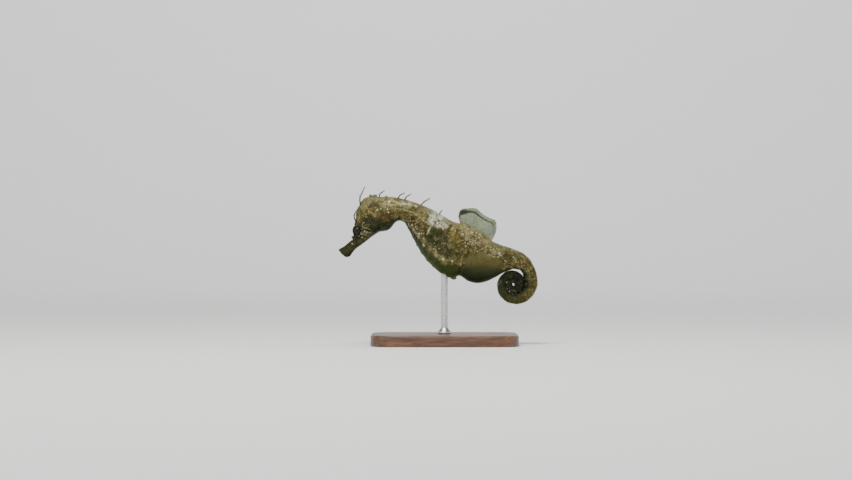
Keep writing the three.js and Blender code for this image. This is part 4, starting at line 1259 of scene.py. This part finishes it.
def make_base(material):
    bevel, height = BASE["bevel"], BASE["height"]
    turns = np.radians(np.linspace(0, 90, 7))
    levels = [(bevel * (1 - math.cos(turn)), height - bevel + bevel * math.sin(turn)) for turn in turns]
    levels = [(inset, height - z) for inset, z in reversed(levels)] + levels
    rings = np.array([[(x, y, z) for x, y in rounded_outline(inset)] for inset, z in levels])
    return mesh_object("base_plate", rings, tube_faces(rings), material)


def make_rod(material):
    """The rod and its collar, turned as one piece, up to just inside the belly."""
    foot, top = BASE["height"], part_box("stand_rod")[1].z / MM + ROD_SUNK
    profile = [(out, foot + z) for out, z in COLLAR]
    profile += [(ROD_RADIUS, z) for z in np.linspace(foot + COLLAR_END, top, 12)]
    rings = turned(profile, ROD_SIDES)
    return mesh_object("support_rod", rings, tube_faces(rings), material)


# ---- assembling the model

FLESH = [
    "snout", "head", "coronet", "neck", "trunk_front", "trunk_rear", "tail_base", "brood_pouch",
    "tail_bend", "tail_coil_outer", "tail_coil_middle", "tail_coil_inner", "tail_tip",
]


def install(piece, slot, *nodes):
    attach(piece, "root")
    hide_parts(*nodes)


install(make_skin(skin_material()), "body_skin", *FLESH)

eye_look, fin_look, filament_look = eye_material(), fin_material(), filament_material()
for side, side_name in SIDE_NAMES.items():
    install(make_eye(side, eye_look), "eye", f"eye_{side_name}")
install(make_fin("dorsal_membrane", DORSAL_FIN, fin_look), "fin", "dorsal_fin")
install(make_fin("anal_membrane", ANAL_FIN, fin_look), "fin", "anal_fin")
for side, side_name in SIDE_NAMES.items():
    pectoral = make_fin(f"pectoral_membrane_{side_name}", PECTORAL_FIN, fin_look, side)
    install(pectoral, "fin", f"pectoral_fin_{side_name}")
for name, spec in FILAMENTS.items():
    install(make_filament(name, spec, filament_look), "filament", f"filament_{name}")

install(make_base(walnut_material()), "stand_base", "stand_base")
install(make_rod(steel_material()), "stand_rod", "stand_rod")

# ---- studio

TARGET = Vector((-0.0083, 0.0, 0.04725))  # what the middle of the picture shows
CAMERA_DISTANCE, LENS, SENSOR = 0.905, 85.0, 36.0
FLOOR_RADIUS, FLOOR_BEND, WALL_HEIGHT, STUDIO_SIDES = 1.0, 0.5, 0.9, 96


def make_backdrop():
    """A round pale floor that curves up into a low wall, beyond the camera of every view."""
    wall = FLOOR_RADIUS + FLOOR_BEND
    outline = [(wall, WALL_HEIGHT)]
    for turn in np.radians(np.linspace(90, 0, 19)):
        outline.append((wall - FLOOR_BEND * (1 - math.sin(turn)), FLOOR_BEND * (1 - math.cos(turn))))
    outline.append((FLOOR_RADIUS - 0.05, 0.0))
    points = turned(outline, STUDIO_SIDES) / MM
    floor = tuple(range((len(outline) - 1) * STUDIO_SIDES, len(outline) * STUDIO_SIDES))
    look = Nodes("pale_backdrop")
    look.surface(Base_Color=(0.8, 0.81, 0.8, 1), Roughness=0.9)
    faces = [floor, *grid_faces(len(outline), STUDIO_SIDES)]
    mesh_object("backdrop", points, faces, look.material)


def area_light(name, place, size, power, colour=(1, 1, 1), aim=TARGET):
    data = bpy.data.lights.new(name, "AREA")
    data.shape, data.size, data.energy, data.color = "DISK", size, power, colour
    lamp = bpy.data.objects.new(name, data)
    lamp.location = place
    lamp.rotation_euler = (Vector(aim) - Vector(place)).to_track_quat("-Z", "Y").to_euler()
    lamp.visible_camera = False
    bpy.context.scene.collection.objects.link(lamp)


def make_camera():
    data = bpy.data.cameras.new("camera")
    data.lens, data.sensor_width = LENS, SENSOR
    camera = bpy.data.objects.new("camera", data)
    camera.location = TARGET + Vector((0, -CAMERA_DISTANCE, 0))
    camera.rotation_euler = (math.radians(90), 0, 0)
    bpy.context.scene.collection.objects.link(camera)
    bpy.context.scene.camera = camera


make_backdrop()
area_light("key_above", (-0.1, -0.26, 0.62), 0.3, 5.0, (1.0, 0.98, 0.94))
area_light("fill_front", (-0.5, -0.7, 0.25), 0.6, 0.9, (0.94, 0.97, 1.0))
area_light("top_behind", (0.3, 0.1, 0.9), 0.5, 3.0)
for east, north in ((0, 1), (1, 0), (0, -1), (-1, 0)):
    place, on_wall = (0.8 * east, 0.8 * north, 1.0), (1.5 * east, 1.5 * north, 0.55)
    area_light(f"wall_wash_{east}_{north}", place, 0.8, 8.5, aim=on_wall)
world = bpy.data.worlds.new("studio")
world.use_nodes = True
background = world.node_tree.nodes["Background"].inputs
background["Color"].default_value = (0.86, 0.9, 0.92, 1)
background["Strength"].default_value = 0.2
bpy.context.scene.world = world
make_camera()
